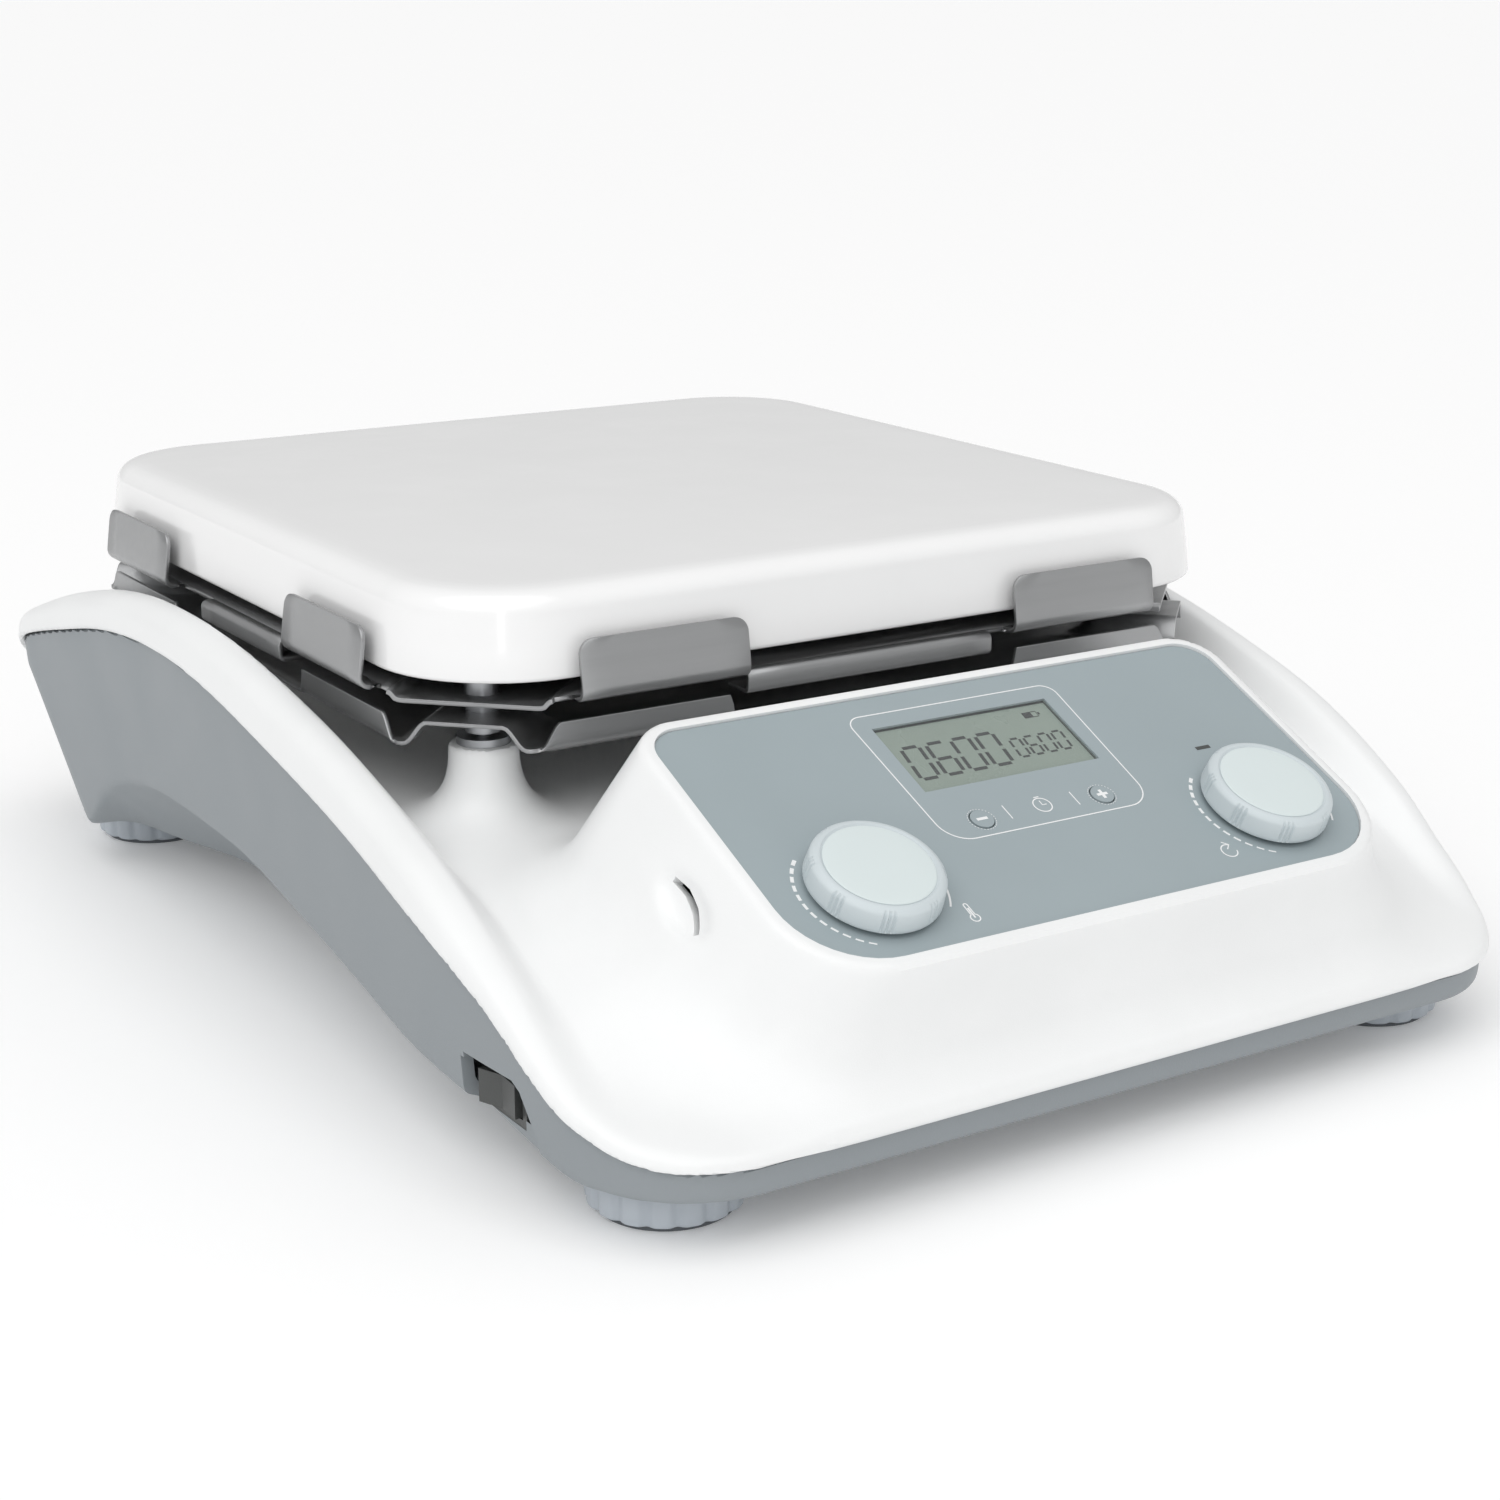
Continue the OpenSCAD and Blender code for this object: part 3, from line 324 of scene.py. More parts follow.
def housing_outside(x, y, z):
    top = base_top(x, y)
    slope = steepness(base_top, x, y)
    base = smax((z - top) / np.sqrt(1 + np.minimum(slope, 3) ** 2), plan_distance(x, y), 2.5)
    px, s, w = to_panel(x, y, z)
    depth = np.maximum(-w, 0)
    flank = panel_distance(px, s, 3.6, 0.6 * depth) / 1.12
    console = smax(w - 0.8, flank, 1.8)
    k = 9 + 17 * step01((40 - s) / 50)
    shape = smin(base, console, k)
    posts = np.hypot(np.abs(x) - 106, np.abs(y - PLATE_Y) - 106) - 9
    shape = smin(shape, smax(posts, z - 85, 1.5), 17)
    turret = smax(np.hypot(x, y - PLATE_Y) - 46, z - 94, 4)
    shape = smin(shape, turret, 8)
    fx, fw = px + FLANK_X, w + FLANK_DEPTH
    q = np.sqrt(((s - 4) / 10) ** 2 + ((fx * 0.51 + fw * 0.857) / 5) ** 2
                + ((fx * 0.857 - fw * 0.51) / 2.4) ** 2)
    return smax(shape, (1 - q) * 2.4, 1.2)


def housing(x, y, z):
    outside = housing_outside(x, y, z)
    shell = smax(outside, -(outside + 3), 0.8)
    ring = smax(z - along(SEAM, y), -plan_distance(x, y) - 5, 1.5)
    shell = smax(shell, -ring, 2.4)
    bay = np.maximum(np.maximum(np.abs(x) - 105, 172 - y), z - 49.5)
    return smax(shell, -bay, 1)


def surface_net(f, origin, step):
    """Vertices and quads of the zero surface of values f on a regular grid."""
    s = f < 0
    nx, ny, nz = f.shape
    corner = np.zeros((nx - 1, ny - 1, nz - 1), np.int8)
    for dx in (0, 1):
        for dy in (0, 1):
            for dz in (0, 1):
                corner += s[dx:nx - 1 + dx, dy:ny - 1 + dy, dz:nz - 1 + dz]
    active = (corner > 0) & (corner < 8)
    cells = np.argwhere(active)
    index = np.full(active.shape, -1, np.int64)
    index[active] = np.arange(len(cells))
    total, number = np.zeros((len(cells), 3)), np.zeros(len(cells))
    faces = []
    for axis in range(3):
        u, v = (axis + 1) % 3, (axis + 2) % 3
        for a in (0, 1):
            for b in (0, 1):
                p0 = cells.copy()
                p0[:, u] += a
                p0[:, v] += b
                p1 = p0.copy()
                p1[:, axis] += 1
                f0, f1 = f[tuple(p0.T)], f[tuple(p1.T)]
                cross = (f0 < 0) != (f1 < 0)
                at = p0.astype(float)
                at[cross, axis] += f0[cross] / (f0[cross] - f1[cross])
                total[cross] += at[cross]
                number[cross] += 1
        low = [slice(None)] * 3
        high = [slice(None)] * 3
        low[axis], high[axis] = slice(None, -1), slice(1, None)
        lo, hi = s[tuple(low)], s[tuple(high)]
        p = np.argwhere(lo != hi)
        p = p[(p[:, u] > 0) & (p[:, v] > 0)]
        eu, ev = np.eye(3, dtype=int)[u], np.eye(3, dtype=int)[v]
        quad = np.stack([index[tuple((p - o).T)] for o in (eu + ev, ev, 0 * eu, eu)], 1)
        outward = lo[tuple(p.T)]
        quad[~outward] = quad[~outward][:, ::-1]
        faces.append(quad)
    return np.array(origin) + step * total / number[:, None], np.concatenate(faces)


def settle(shape, points, rounds=2):
    """Moves points onto the zero surface of shape."""
    e = 0.15
    for _ in range(rounds):
        x, y, z = points.T
        value = shape(x, y, z)
        slope = np.stack([shape(x + e, y, z) - shape(x - e, y, z),
                          shape(x, y + e, z) - shape(x, y - e, z),
                          shape(x, y, z + e) - shape(x, y, z - e)], 1) / (2 * e)
        move = value[:, None] * slope / np.maximum((slope ** 2).sum(1), 0.2)[:, None]
        length = np.linalg.norm(move, axis=1)
        points = points - move * np.minimum(1, 0.7 / np.maximum(length, 1e-9))[:, None]
    return points


def relax(points, quads, share=0.5):
    """Moves each point part of the way to the middle of its neighbours."""
    a = quads.ravel()
    b = np.roll(quads, -1, 1).ravel()
    n = len(points)
    count = np.bincount(a, minlength=n) + np.bincount(b, minlength=n)
    middle = np.stack([np.bincount(a, points[b, i], n) + np.bincount(b, points[a, i], n)
                       for i in range(3)], 1)
    return points + share * (middle / count[:, None] - points)


def moulded(name, shape, low, high, step, finish_name):
    """A closed mesh of the shape inside a box, as a new object."""
    axes = [np.arange(low[i], high[i] + step, step) for i in range(3)]
    grid = np.meshgrid(*axes, indexing="ij", sparse=True)
    values = shape(*grid)
    values = np.broadcast_to(values, [len(a) for a in axes])
    points, quads = surface_net(values, low, step)
    points = settle(shape, points)
    for _ in range(2):
        points = settle(shape, relax(points, quads), 1)
    return mesh_object(name, points * MM, quads, finish_name)


def mesh_object(name, points, faces, finish_name, smooth=True):
    data = bpy.data.meshes.new(name)
    data.from_pydata([tuple(p) for p in points], [], [tuple(int(i) for i in f) for f in faces])
    data.materials.append(FINISH[finish_name])
    if smooth:
        data.shade_smooth()
    data.update()
    obj = bpy.data.objects.new(name, data)
    bpy.context.scene.collection.objects.link(obj)
    return obj


# ---------------------------------------------------------------- mesh helpers
def prism(bm, outline, low, high, place):
    """A closed prism over a 2-D outline, between two heights, set in place by a function."""
    bottom = [bm.verts.new(place(u, v, low)) for u, v in outline]
    top = [bm.verts.new(place(u, v, high)) for u, v in outline]
    bm.faces.new(bottom[::-1])
    bm.faces.new(top)
    for i in range(len(outline)):
        j = (i + 1) % len(outline)
        bm.faces.new((bottom[i], bottom[j], top[j], top[i]))


def circle(cx, cy, r, n=40):
    return [(cx + r * math.cos(2 * math.pi * i / n), cy + r * math.sin(2 * math.pi * i / n))
            for i in range(n)]


def rectangle(x0, y0, x1, y1):
    return [(x0, y0), (x1, y0), (x1, y1), (x0, y1)]


def rounded(half_w, low, high, r_low, r_high, n=10):
    """Closed outline of a rectangle with rounded corners, counter-clockwise."""
    points = []
    for cx, cy, r, a0 in ((half_w - r_low, low + r_low, r_low, -90),
                          (half_w - r_high, high - r_high, r_high, 0),
                          (r_high - half_w, high - r_high, r_high, 90),
                          (r_low - half_w, low + r_low, r_low, 180)):
        for i in range(n + 1):
            a = math.radians(a0 + 90 * i / n)
            points.append((cx + r * math.cos(a), cy + r * math.sin(a)))
    return points


def flat_place(x, y, z):
    return Vector((x, y, z)) * MM


def panel_place(x, s, w):
    return Vector((x, PANEL_AT[1] + s * math.cos(TILT) - w * math.sin(TILT),
                   PANEL_AT[2] + s * math.sin(TILT) + w * math.cos(TILT))) * MM


def flank_place(s, v, h):
    """On the console's left flank: s up the panel's slope, v up the flank, h outward."""
    return panel_place(-FLANK_X + 0.51 * v - 0.857 * h, s, -FLANK_DEPTH + 0.857 * v + 0.51 * h)


def side_place(y, z, x):
    return Vector((x, y, z)) * MM


def back_place(x, z, y):
    return Vector((x, -y, z)) * MM


def new_object(name, bm, finish_name, body="stirrer_body", smooth=True, angle=30):
    data = bpy.data.meshes.new(name)
    bmesh.ops.recalc_face_normals(bm, faces=bm.faces)
    bm.to_mesh(data)
    bm.free()
    data.materials.append(FINISH[finish_name])
    if smooth:
        data.shade_smooth()
        data.set_sharp_from_angle(angle=math.radians(angle))
    obj = bpy.data.objects.new(name, data)
    bpy.context.scene.collection.objects.link(obj)
    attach(obj, body)
    return obj


def baked(obj):
    """The object's mesh with its modifiers applied."""
    bpy.context.view_layer.update()
    return bpy.data.meshes.new_from_object(obj.evaluated_get(bpy.context.evaluated_depsgraph_get()))


def carve(obj, cutter_bm):
    """Cuts the prisms in cutter_bm out of obj."""
    data = bpy.data.meshes.new("cutter")
    bmesh.ops.recalc_face_normals(cutter_bm, faces=cutter_bm.faces)
    cutter_bm.to_mesh(data)
    cutter_bm.free()
    cutter = bpy.data.objects.new("cutter", data)
    bpy.context.scene.collection.objects.link(cutter)
    cut = obj.modifiers.new("cut", "BOOLEAN")
    cut.operation = "DIFFERENCE"
    cut.solver = "EXACT"
    cut.object = cutter
    result = baked(obj)
    obj.modifiers.clear()
    obj.data = result
    result.shade_smooth()
    result.set_sharp_from_angle(angle=math.radians(35))
    bpy.data.objects.remove(cutter)


# ---------------------------------------------------------------- body shells
def upper_shell():
    obj = moulded("housing_shell", housing, (-153, -209, 12), (153, 209, 104), 1.25,
                  "housing_white")
    cutter = bmesh.new()
    prism(cutter, rounded(88.2, -37.0, 50.1, 22.2, 9.2), -0.6, 5, panel_place)
    carve(obj, cutter)
    cutter = bmesh.new()
    prism(cutter, rectangle(-29, 11.5, 29, 39.8), -9, 2, panel_place)
    for sx in (-1, 1):
        prism(cutter, circle(sx * KEY_X, KEY_S, 3.4), -9, 2, panel_place)
        prism(cutter, circle(sx * KNOB_X, KNOB_S, 3.8), -9, 2, panel_place)
    slit = [(12, 0.9), (7, 1.0), (2, -0.2), (-3.4, -2.8), (-4.2, -1.6), (1.5, 1.7), (7, 3.1), (12, 2.4)]
    prism(cutter, slit, -8, 4, flank_place)
    carve(obj, cutter)
    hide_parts("upper_housing")
    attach(obj, "stirrer_body")
    return obj


# The finger scoops: height of the outer arch, and how far out the scoop's inner wall stands, along y.
SCOOP = curve([(-188, 12), (-176, 14.5), (-163, 17.5), (-145, 19.5), (-122, 21), (-100, 23.5),
               (-72, 29.5), (-41, 35.5), (-8, 41.2), (13, 43), (44, 43.6), (68, 43), (85, 40.5),
               (100, 36.5), (109, 32.5), (117, 28), (126, 20), (134, 13), (138, 12)])
SCOOP_FOOT = curve([(-190, 139), (-165, 136), (-145, 134), (-128, 129), (-112, 119), (-90, 113),
                    (-60, 112), (40, 112), (70, 114), (88, 118), (107, 123.5), (129, 128),
                    (145, 134), (160, 143)])


def scoop_roof(x, y):
    """Height of the finger scoops' roof under each side."""
    arch, foot = along(SCOOP, y), along(SCOOP_FOOT, y)
    u = np.clip((np.abs(x) - foot) / (146 - foot), 0, 1)
    return 12 + (arch - 12) * (0.5 * u + 0.5 * (1 - (1 - u) ** 2))


def case_outside(x, y, z):
    lean = 0.84 * np.maximum(57 - z, 0) * step01(y / 90)
    inset = 2.3 + 0.07 * np.maximum(along(SEAM, y) - z, 0)
    plan = plan_distance(x, y + lean) + inset
    body = smax(plan, 12 - z, 3.5)
    slope = steepness(scoop_roof, x, y)
    body = smax(body, (scoop_roof(x, y) - z) / np.sqrt(1 + np.minimum(slope, 6) ** 2), 1.6)
    bay = np.maximum(np.maximum(np.abs(x) - 104, 172 - y), z - 49)
    return smax(body, -bay, 1.2)


def case(x, y, z):
    outside = case_outside(x, y, z)
    top = (z - along(SEAM, y)) / 1.15
    return np.maximum(smax(outside, top, 0.6), -(outside + 3.2))


def lower_shell():
    obj = moulded("case_shell", case, (-152, -209, 9), (152, 209, 93), 1.5, "case_grey")
    cutter = bmesh.new()
    notch = [(-133, 31), (-154, 31), (-157, 29.2), (-163, 19), (-163, 6), (-136, 6)]
    prism(cutter, notch, -170, -138.6, side_place)
    carve(obj, cutter)
    cutter = bmesh.new()
    prism(cutter, rectangle(-152.4, 16.8, -131.6, 29.6), -150, -120, side_place)
    prism(cutter, rectangle(-71.8, 22.7, -44.2, 43.3), -182, -160, back_place)
    prism(cutter, circle(12, 33, 7.1), -182, -160, back_place)
    prism(cutter, rectangle(34.5, 27.7, 53.5, 38.3), -182, -160, back_place)
    prism(cutter, circle(82, 33, 9.1), -182, -160, back_place)
    for i in range(-4, 5):
        prism(cutter, rectangle(i * 9 - 1.5, 20, i * 9 + 1.5, 70), 8, 18, flat_place)
    for x, y in FOOT_AT.values():
        prism(cutter, circle(x, y, 6.02), 8, 28, flat_place)
    for x, y in SCREW_AT:
        prism(cutter, circle(x, y, 4), 8, 16, flat_place)
    carve(obj, cutter)
    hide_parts("lower_case")
    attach(obj, "stirrer_body")
    return obj


# ---------------------------------------------------------------- work plate
def loft(bm, loops, cap_start=True, cap_end=True):
    """A skin through closed loops of points with the same count."""
    rings = [[bm.verts.new(p) for p in loop] for loop in loops]
    n = len(rings[0])
    for a, b in zip(rings, rings[1:]):
        for i in range(n):
            j = (i + 1) % n
            bm.faces.new((a[i], a[j], b[j], b[i]))
    if cap_start:
        bm.faces.new(rings[0][::-1])
    if cap_end:
        bm.faces.new(rings[-1])
    return rings


def square_loop(half, r, z):
    return [Vector((x, y + PLATE_Y, z)) * MM for x, y in rounded(half, -half, half, r, r, 14)]


def work_plate():
    half, top, low = 129.0, 127.0, 104.5
    rings = [(half - 60, top), (half - 16, top), (half - 12, top - 0.04), (half - 9.6, top - 0.16)]
    for i in range(9):
        a = math.radians(80 - 10 * i)
        rings.append((half - 2.2 - 6.5 + 6.5 * math.cos(a), top - 0.35 - 6.15 + 6.15 * math.sin(a)))
    rings += [(half - 1.2, low + 9), (half - 0.35, low + 1.2), (half - 0.5, low + 0.4),
              (half - 1.1, low), (half - 5.0, low), (half - 5.8, low + 0.5),
              (half - 6.0, low + 1.5), (half - 6.4, top - 8), (half - 9.0, top - 5)]
    bm = bmesh.new()
    loft(bm, [square_loop(h, 36 - (half - h) * 0.9 if half - h < 30 else 8, z) for h, z in rings])
    obj = new_object("work_plate", bm, "plate_white", angle=50)
    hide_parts("top_plate")


# ---------------------------------------------------------------- sheet metal
def sheet_object(name, bm, t, angle=35, even=True):
    """Gives an open surface the thickness t, half to each side."""
    bmesh.ops.remove_doubles(bm, verts=bm.verts, dist=1e-6)
    obj = new_object(name, bm, "stainless", angle=angle)
    solid = obj.modifiers.new("sheet", "SOLIDIFY")
    solid.thickness = t * MM
    solid.offset = 0
    solid.use_even_offset = even
    edge = obj.modifiers.new("edge", "BEVEL")
    edge.width = 0.18 * MM
    edge.segments = 1
    edge.limit_method = "ANGLE"
    edge.angle_limit = math.radians(60)
    obj.data = baked(obj)
    obj.modifiers.clear()
    return obj


def side_frame(a):
    """Place of a point beside the plate: x along the side, d outward from the plate's axis."""
    c, s = math.cos(math.radians(a)), math.sin(math.radians(a))
    return lambda x, d, z: Vector((c * x + s * d, s * x - c * d + PLATE_Y, z)) * MM


def strip(bm, rows, place, columns=6):
    """Open surface through rows (x0, x1, d, z)."""
    last = None
    for x0, x1, d, z in rows:
        row = [bm.verts.new(place(x0 + (x1 - x0) * i / columns, d, z)) for i in range(columns + 1)]
        if last:
            for i in range(columns):
                bm.faces.new((last[i], last[i + 1], row[i + 1], row[i]))
        last = row


def tab_rows(x0, x1):
    rows = [(x0, x1, 127.5, 99.4), (x0, x1, 130.2, 99.4)]
    for i in range(1, 8):
        a = math.radians(14 * i)
        rows.append((x0, x1, 130.2 + 2.7 * math.sin(a), 102.1 - 2.7 * math.cos(a)))
    lean, d0, z0, length, r = math.radians(8), rows[-1][2], rows[-1][3], 12.5, 4.2
    for i in range(11):
        t = length - r + r * math.sin(math.radians(9 * i)) if i else length * 0.4
        cut = r * (1 - math.cos(math.radians(9 * i)))
        rows.append((x0 + cut, x1 - cut, d0 - t * math.sin(lean), z0 + t * math.cos(lean)))
    return rows


# Start and end of the folded channel along each side of the plate, by the side's angle.
FOLD_SPAN = {0: (-42.5, 36), 90: (-36, 20), 180: (-42.5, 36), 270: (-20, 36)}


def fold_rows(x0, x1):
    rows = [(x0, x1, 127.5, 99.4), (x0, x1, 129.6, 99.4)]
    for i in range(1, 5):
        a = math.radians(22.5 * i)
        rows.append((x0, x1, 129.6 + 1.3 * math.sin(a), 98.1 + 1.3 * math.cos(a)))
    rows.append((x0, x1, 130.9, 95.7))
    for i in range(1, 5):
        a = math.radians(22.5 * i)
        rows.append((x0, x1, 129.6 + 1.3 * math.cos(a), 95.7 - 1.3 * math.sin(a)))
    rows.append((x0, x1, 121.5, 94.4))
    return rows


def clip_sheet():
    bm = bmesh.new()
    for a in (0, 90, 180, 270):
        place = side_frame(a)
        for x0, x1 in ((43, 92), (-92, -43)):
            strip(bm, tab_rows(x0, x1), place)
        strip(bm, fold_rows(*FOLD_SPAN[a]), place)
        inner = [(70 * math.sin(math.radians(t)), 70 * math.cos(math.radians(t))) for t in range(45, -46, -9)]
        outer = [(-85.5, 85.5), (-70.3, 100.8), (-97, 127.5)]
        outer += [(x, 127.5) for x in (-92, -43, -36, 36, 43, 92)]
        outer += [(97, 127.5), (70.3, 100.8), (85.5, 85.5)]
        bm.faces.new([bm.verts.new(place(x, d, 99.4)) for x, d in inner + outer])
        corner = side_frame(a + 45)
        edge = [(16.5, 97.4), (17.6, 97.4), (18.6, 97.5), (19.5, 97.8), (20.4, 98.9), (21.0, 99.3),
                (21.6, 99.4)]
        across = [(-v, z) for v, z in edge[::-1]] + edge
        last = None
        for u, rise in ((121, 1), (122, 0.92), (123.2, 0.5), (124.4, 0.08), (125.4, 0), (160.6, 0)):
            row = [bm.verts.new(corner(v, u, z + (99.4 - z) * rise)) for v, z in across]
            if last:
                for i in range(len(row) - 1):
                    bm.faces.new((last[i], last[i + 1], row[i + 1], row[i]))
            last = row
    obj = sheet_object("clip_sheet", bm, 1.2)
    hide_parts("clip_carrier")


def evenly(corners, n):
    """n points spaced evenly round a closed outline."""
    points = np.array(corners + corners[:1], float)
    run = np.concatenate([[0], np.cumsum(np.hypot(*np.diff(points, axis=0).T))])
    t = np.linspace(0, run[-1], n, endpoint=False)
    return np.stack([np.interp(t, run, points[:, 0]), np.interp(t, run, points[:, 1])], 1)


def ringed(bm, loops):
    last = None
    for loop in loops:
        row = [bm.verts.new(p) for p in loop]
        if last:
            for i in range(len(row)):
                j = (i + 1) % len(row)
                bm.faces.new((last[i], last[j], row[j], row[i]))
        last = row


def chamfered_loop(half, cut, n):
    """n points evenly round a square with its corners cut off at the diagonal distance cut."""
    e = min(cut * math.sqrt(2) - half, 0.86 * half)
    return evenly([(e, -half), (half, -e), (half, e), (e, half),
                   (-e, half), (-half, e), (-half, -e), (-e, -half)], n)


def shield_sheet():
    """Sheet with an upturned flange at each side and a raised pad at each corner."""
    n = 960

    def row(half, lift, sink=0.0):
        loop = []
        for x, y in chamfered_loop(half, 165 - (129 - half) * 1.05, n):
            s = min(abs(x), abs(y))
            u, v = (abs(x) + abs(y)) / math.sqrt(2), abs(abs(x) - abs(y)) / math.sqrt(2)
            pad = (1 - step01((v - 10) / 6)) * step01((u - 134) / 9)
            channel = step01((v - 15) / 5) * step01((half - 104) / 12) * (1 - step01((half - 124) / 5))
            z = 87.6 + 5.6 * pad - 1.6 * channel - sink * (1 - pad)
            flange = step01((s - 45) / 1.5) * (1 - step01((s - 96) / 6))
            loop.append(Vector((x, y + PLATE_Y, z + lift * flange)) * MM)
        return loop

    loops = [row(h, 0) for h in (50, 60, 70, 80, 88, 94)]
    loops += [row(98 + 1.25 * i, 0) for i in range(24)]
    loops += [row(128.0, 0.15), row(128.5, 0.5), row(128.8, 1.1), row(129.0, 1.8)]
    loops += [row(129.0, lift) for lift in (3, 4, 5, 6, 6.4)]
    bm = bmesh.new()
    ringed(bm, loops)
    obj = sheet_object("shield_sheet", bm, 1.0, even=False)
    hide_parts("heat_shield")


def pan_sheet():
    rows = [(50, 49, 103.1), (80, 30, 103.1), (110, 20, 103.1), (116.6, 20, 103.1),
            (117.5, 20.6, 103.25), (118.2, 21.2, 103.7), (118.5, 21.5, 104.2), (118.5, 21.5, 106.0)]
    bm = bmesh.new()
    ringed(bm, [[Vector((x, y + PLATE_Y, z)) * MM
                 for x, y in evenly(rounded(h, -h, h, r, r, 24), 240)] for h, r, z in rows])
    obj = sheet_object("pan_sheet", bm, 1.0)
    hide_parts("inner_pan")


# ---------------------------------------------------------------- panel
def ribbon(bm, points, width, place, closed=False, low=0.02, high=0.07):
    """A flat printed line through 2-D points."""
    n = len(points)
    sides = []
    for i in range(n):
        a = points[(i - 1) % n] if closed or i > 0 else points[i]
        b = points[(i + 1) % n] if closed or i < n - 1 else points[i]
        dx, dy = b[0] - a[0], b[1] - a[1]
        length = math.hypot(dx, dy) or 1
        ox, oy = -dy / length * width / 2, dx / length * width / 2
        x, y = points[i]
        sides.append([bm.verts.new(place(x + k * ox, y + k * oy, h))
                      for k, h in ((1, low), (1, high), (-1, high), (-1, low))])
    for i in range(n if closed else n - 1):
        a, b = sides[i], sides[(i + 1) % n]
        for k in range(4):
            bm.faces.new((a[k], a[(k + 1) % 4], b[(k + 1) % 4], b[k]))
    if not closed:
        bm.faces.new(sides[0][::-1])
        bm.faces.new(sides[-1])


def arc(cx, cy, r, a0, a1, n=10):
    return [(cx + r * math.cos(math.radians(a0 + (a1 - a0) * i / n)),
             cy + r * math.sin(math.radians(a0 + (a1 - a0) * i / n))) for i in range(n + 1)]


def panel_prints():
    bm = bmesh.new()
    outline = []
    for (cx, cy), r, a0 in (((31.8 - 7.5, -5.5 + 7.5), 7.5, -90), ((32.6 - 4, 43.4 - 4), 4, 0),
                            ((-32.6 + 4, 43.4 - 4), 4, 90), ((-31.8 + 7.5, -5.5 + 7.5), 7.5, 180)):
        outline += arc(cx, cy, r, a0, a0 + 90, 10)
    ribbon(bm, outline, 0.35, panel_place, True)
    for sx in (-1, 1):
        for k in range(28):
            a = k * 360 / 28
            ribbon(bm, arc(sx * KEY_X, KEY_S, 3.75, a, a + 6, 2), 0.16, panel_place)
        ribbon(bm, [(sx * 10.6, -1.6), (sx * 10.6, 3.4)], 0.3, panel_place)
    # clock between the keys
    ribbon(bm, arc(0.4, 0.9, 2.5, 0, 360, 28)[:-1], 0.32, panel_place, True)
    ribbon(bm, [(0.4, 2.5), (0.4, 0.9), (1.7, 0.9)], 0.3, panel_place)
    ribbon(bm, [(-0.4, 3.9), (1.2, 3.9)], 0.32, panel_place)
    # scale round each knob, from fine to broad
    for cx in (-KNOB_X, KNOB_X):
        angles = np.linspace(132, 244, 13)
        for i, a in enumerate(angles[:-1]):
            ribbon(bm, arc(cx, KNOB_S, 19.0, a + 1.2, a + 7.2, 3), 0.4 + 0.05 * (12 - i), panel_place)
        ribbon(bm, arc(cx, KNOB_S, 19.0, -34, -14, 8), 0.5, panel_place)
    # thermometer and turning arrow
    ribbon(bm, arc(-41.4, -30.0, 1.25, 115, 425, 14), 0.32, panel_place)
    stem = [(-41.93, -28.9), (-41.93, -25.6)] + arc(-41.4, -25.6, 0.53, 180, 0, 6) + [(-40.87, -28.9)]
    ribbon(bm, stem, 0.32, panel_place)
    ribbon(bm, [(-41.4, -30.0), (-41.4, -26.6)], 0.45, panel_place)
    ribbon(bm, arc(39.5, -27.3, 2.2, 60, 350, 20), 0.34, panel_place)
    ribbon(bm, [(39.3, -24.0), (40.9, -25.3), (39.4, -26.7)], 0.34, panel_place)
    new_object("panel_print", bm, "housing_white", smooth=False)
    for sx, name in ((-1, "minus"), (1, "plus")):
        bm = bmesh.new()
        x = sx * KEY_X
        ribbon(bm, [(x - 1.6, KEY_S), (x + 1.6, KEY_S)], 0.85, panel_place, low=0.28, high=0.36)
        if sx > 0:
            ribbon(bm, [(x, -1.4), (x, 1.8)], 0.85, panel_place, low=0.28, high=0.365)
        new_object(name + "_sign", bm, "housing_white", name + "_key", smooth=False)
    bm = bmesh.new()
    ribbon(bm, [(57.6, 9.5), (62.2, 9.5)], 1.2, panel_place)
    new_object("panel_led", bm, "dark_grey_plastic", smooth=False)


SEGMENTS = {"0": "abcdef", "6": "acdefg"}


def digit(bm, x, s, w, h, shape, place, t, gap, level):
    """A seven-segment digit with its lower left corner at x, s."""
    lean = 0.09
    bars = {"a": ((gap, h), (w - gap, h)), "d": ((gap, 0), (w - gap, 0)), "g": ((gap, h / 2), (w - gap, h / 2)),
            "f": ((0, h / 2 + gap), (0, h - gap)), "b": ((w, h / 2 + gap), (w, h - gap)),
            "e": ((0, gap), (0, h / 2 - gap)), "c": ((w, gap), (w, h / 2 - gap))}
    for name in SEGMENTS[shape]:
        ribbon(bm, [(x + p[0] + lean * p[1], s + p[1]) for p in bars[name]], t, place,
               low=level, high=level + 0.05)


def display():
    level = -0.98
    bm = bmesh.new()
    for i, d in enumerate("0600"):
        digit(bm, -24.6 + i * 7.7, 18.4, 5.5, 12.0, d, panel_place, 1.05, 0.7, level)
        digit(bm, 7.4 + i * 4.5, 19.6, 3.1, 7.0, d, panel_place, 0.66, 0.5, level)
    ribbon(bm, [(18.3, 34.2), (20.9, 34.2)], 1.9, panel_place, low=level, high=level + 0.05)
    ribbon(bm, rectangle(18.2, 33.2, 22.6, 35.2), 0.22, panel_place, True, low=level, high=level + 0.05)
    ribbon(bm, [(22.9, 34.2), (23.4, 34.2)], 0.9, panel_place, low=level, high=level + 0.05)
    # painted shade: this thin black frame just inside the display window stands in for the shadow of the
    # window's recess
    ribbon(bm, rectangle(-27.3, 13.2, 27.3, 38.1), 0.7, panel_place, True, low=level, high=level + 0.06)
    new_object("display_figures_and_painted_shade", bm, "black_plastic", smooth=False)


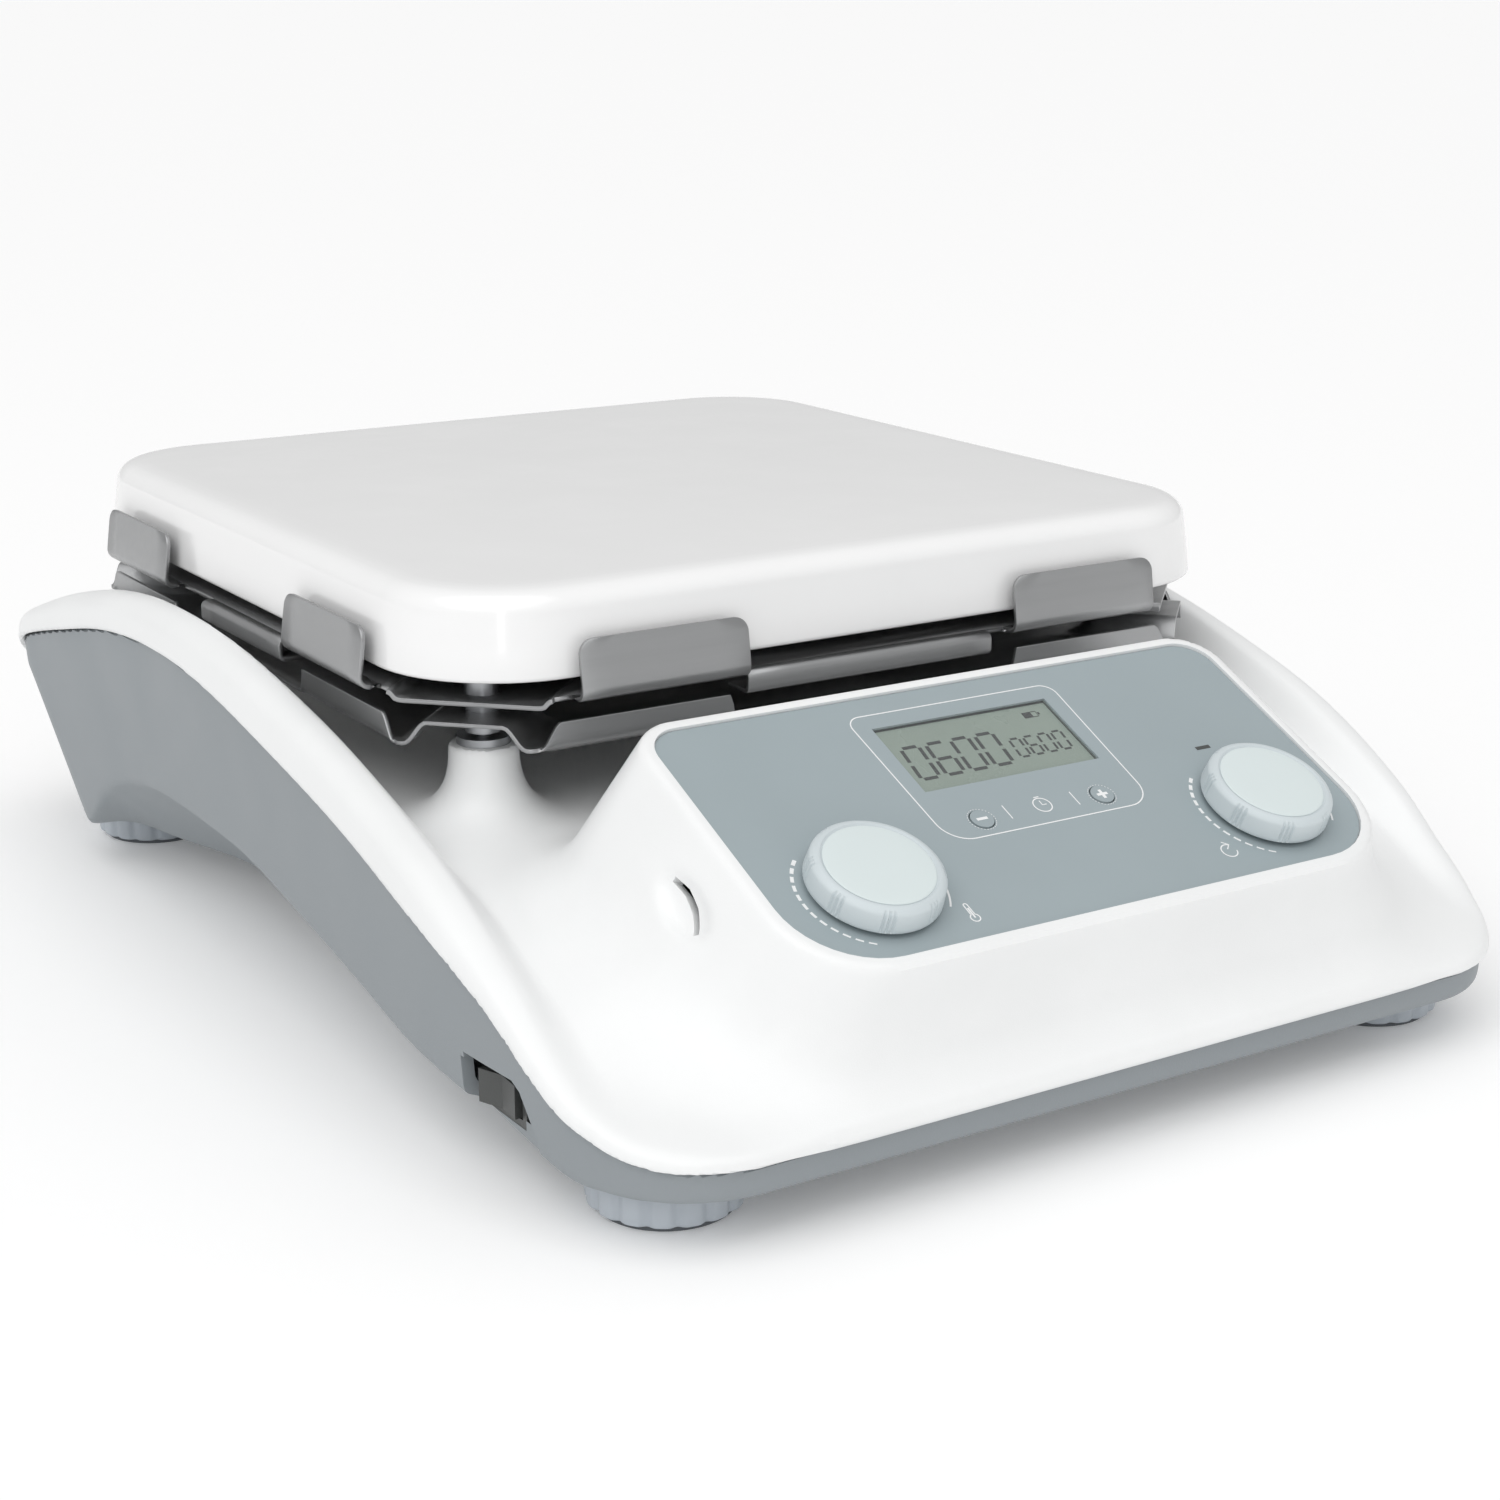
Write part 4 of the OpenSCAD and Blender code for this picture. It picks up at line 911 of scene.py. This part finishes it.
# ---------------------------------------------------------------- knobs and feet
def lathe(bm, profile, n, radius, place):
    """Turned shape: profile is (r, z) pairs, and radius(r, z, angle) changes r round the axis."""
    rows = []
    for r, z in profile:
        row = []
        for i in range(n):
            a = 2 * math.pi * i / n
            rr = radius(r, z, a)
            row.append(bm.verts.new(place(rr * math.cos(a), rr * math.sin(a), z)))
        rows.append(row)
    for a, b in zip(rows, rows[1:]):
        for i in range(n):
            j = (i + 1) % n
            bm.faces.new((a[i], a[j], b[j], b[i]))
    bm.faces.new(rows[0][::-1])
    bm.faces.new(rows[-1])


def knobs():
    for sx, side in ((-1, "temp"), (1, "speed")):
        def place(x, y, z, sx=sx):
            return panel_place(sx * KNOB_X + x, KNOB_S + y, z)

        def grooved(r, z, a):
            if r < 15.9 or z > 7.1 or z < 1.5:
                return r
            turn = math.degrees(a) % 45 - 22.5
            depth = max(0.0, 1 - abs(abs(turn) - 4.2) / 1.5, 1 - abs(turn) / 1.5)
            return r - 0.5 * min(1.0, depth * 1.6)

        profile = [(3.2, 2.6), (6, 2.6), (6.2, 1.3), (12, 1.3), (16.2, 1.3), (16.75, 1.45),
                   (16.95, 1.8), (16.9, 2.6), (16.6, 6.2), (16.5, 6.6), (16.3, 6.95), (15.7, 7.45),
                   (15.1, 7.8), (14.7, 7.93), (14.3, 7.9), (14.1, 7.7), (13.9, 7.55), (6, 7.55)]
        bm = bmesh.new()
        lathe(bm, profile, 480, grooved, place)
        knob = new_object(side + "_knob_body", bm, "knob_grey", side + "_dial", angle=40)
        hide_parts(side + "_knob")
        bm = bmesh.new()
        dome = [(6, 7.5), (13.6, 7.5), (13.7, 7.62), (13.55, 7.74), (13.2, 7.8), (9, 7.88), (3, 7.92)]
        lathe(bm, dome, 96, lambda r, z, a: r, place)
        cap = new_object(side + "_knob_cap", bm, "cap_grey", side + "_dial", angle=40)


def feet():
    for name, (fx, fy) in FOOT_AT.items():
        def place(x, y, z, fx=fx, fy=fy):
            return Vector((fx + x, fy + y, z)) * MM

        def fluted(r, z, a):
            if r < 16.5:
                return r
            wave = 0.5 + 0.5 * math.cos(16 * a)
            return r - 0.95 * wave ** 3 * min(1.0, (r - 16.5) / 1.5)

        profile = [(4.05, 4.35), (6.1, 4.35), (6.1, 1.45), (16.6, 1.4), (18.2, 1.45), (18.8, 1.9),
                   (18.95, 2.6), (18.95, 8.9), (18.8, 9.7), (18.2, 10.25), (17.2, 10.4),
                   (16.4, 10.35), (16.0, 9.5), (8, 9.4), (7.2, 10.35), (4.05, 10.4)]
        bm = bmesh.new()
        lathe(bm, profile, 320, fluted, place)
        wheel = new_object(name + "_wheel_body", bm, "foot_grey", name + "_wheel", angle=40)
        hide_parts(name + "_foot_wheel")


finishes()
world()
camera()
floor()
sun()
area_light("key", (-1.1, -0.6, 1.2), (0, 0, 0.08), (0.9, 0.9), 1.6)
area_light("strip", (-0.75, -1.25, 0.45), (0, 0, 0.1), (0.14, 0.8), 1.0)
dress_cad()
for name in ("minus_button", "plus_button"):
    for slot in frame["nodes"][name].material_slots:
        slot.material = FINISH["overlay_grey"]
upper_shell()
lower_shell()
work_plate()
clip_sheet()
shield_sheet()
pan_sheet()
panel_prints()
display()
knobs()
feet()

bpy.context.view_layer.update()
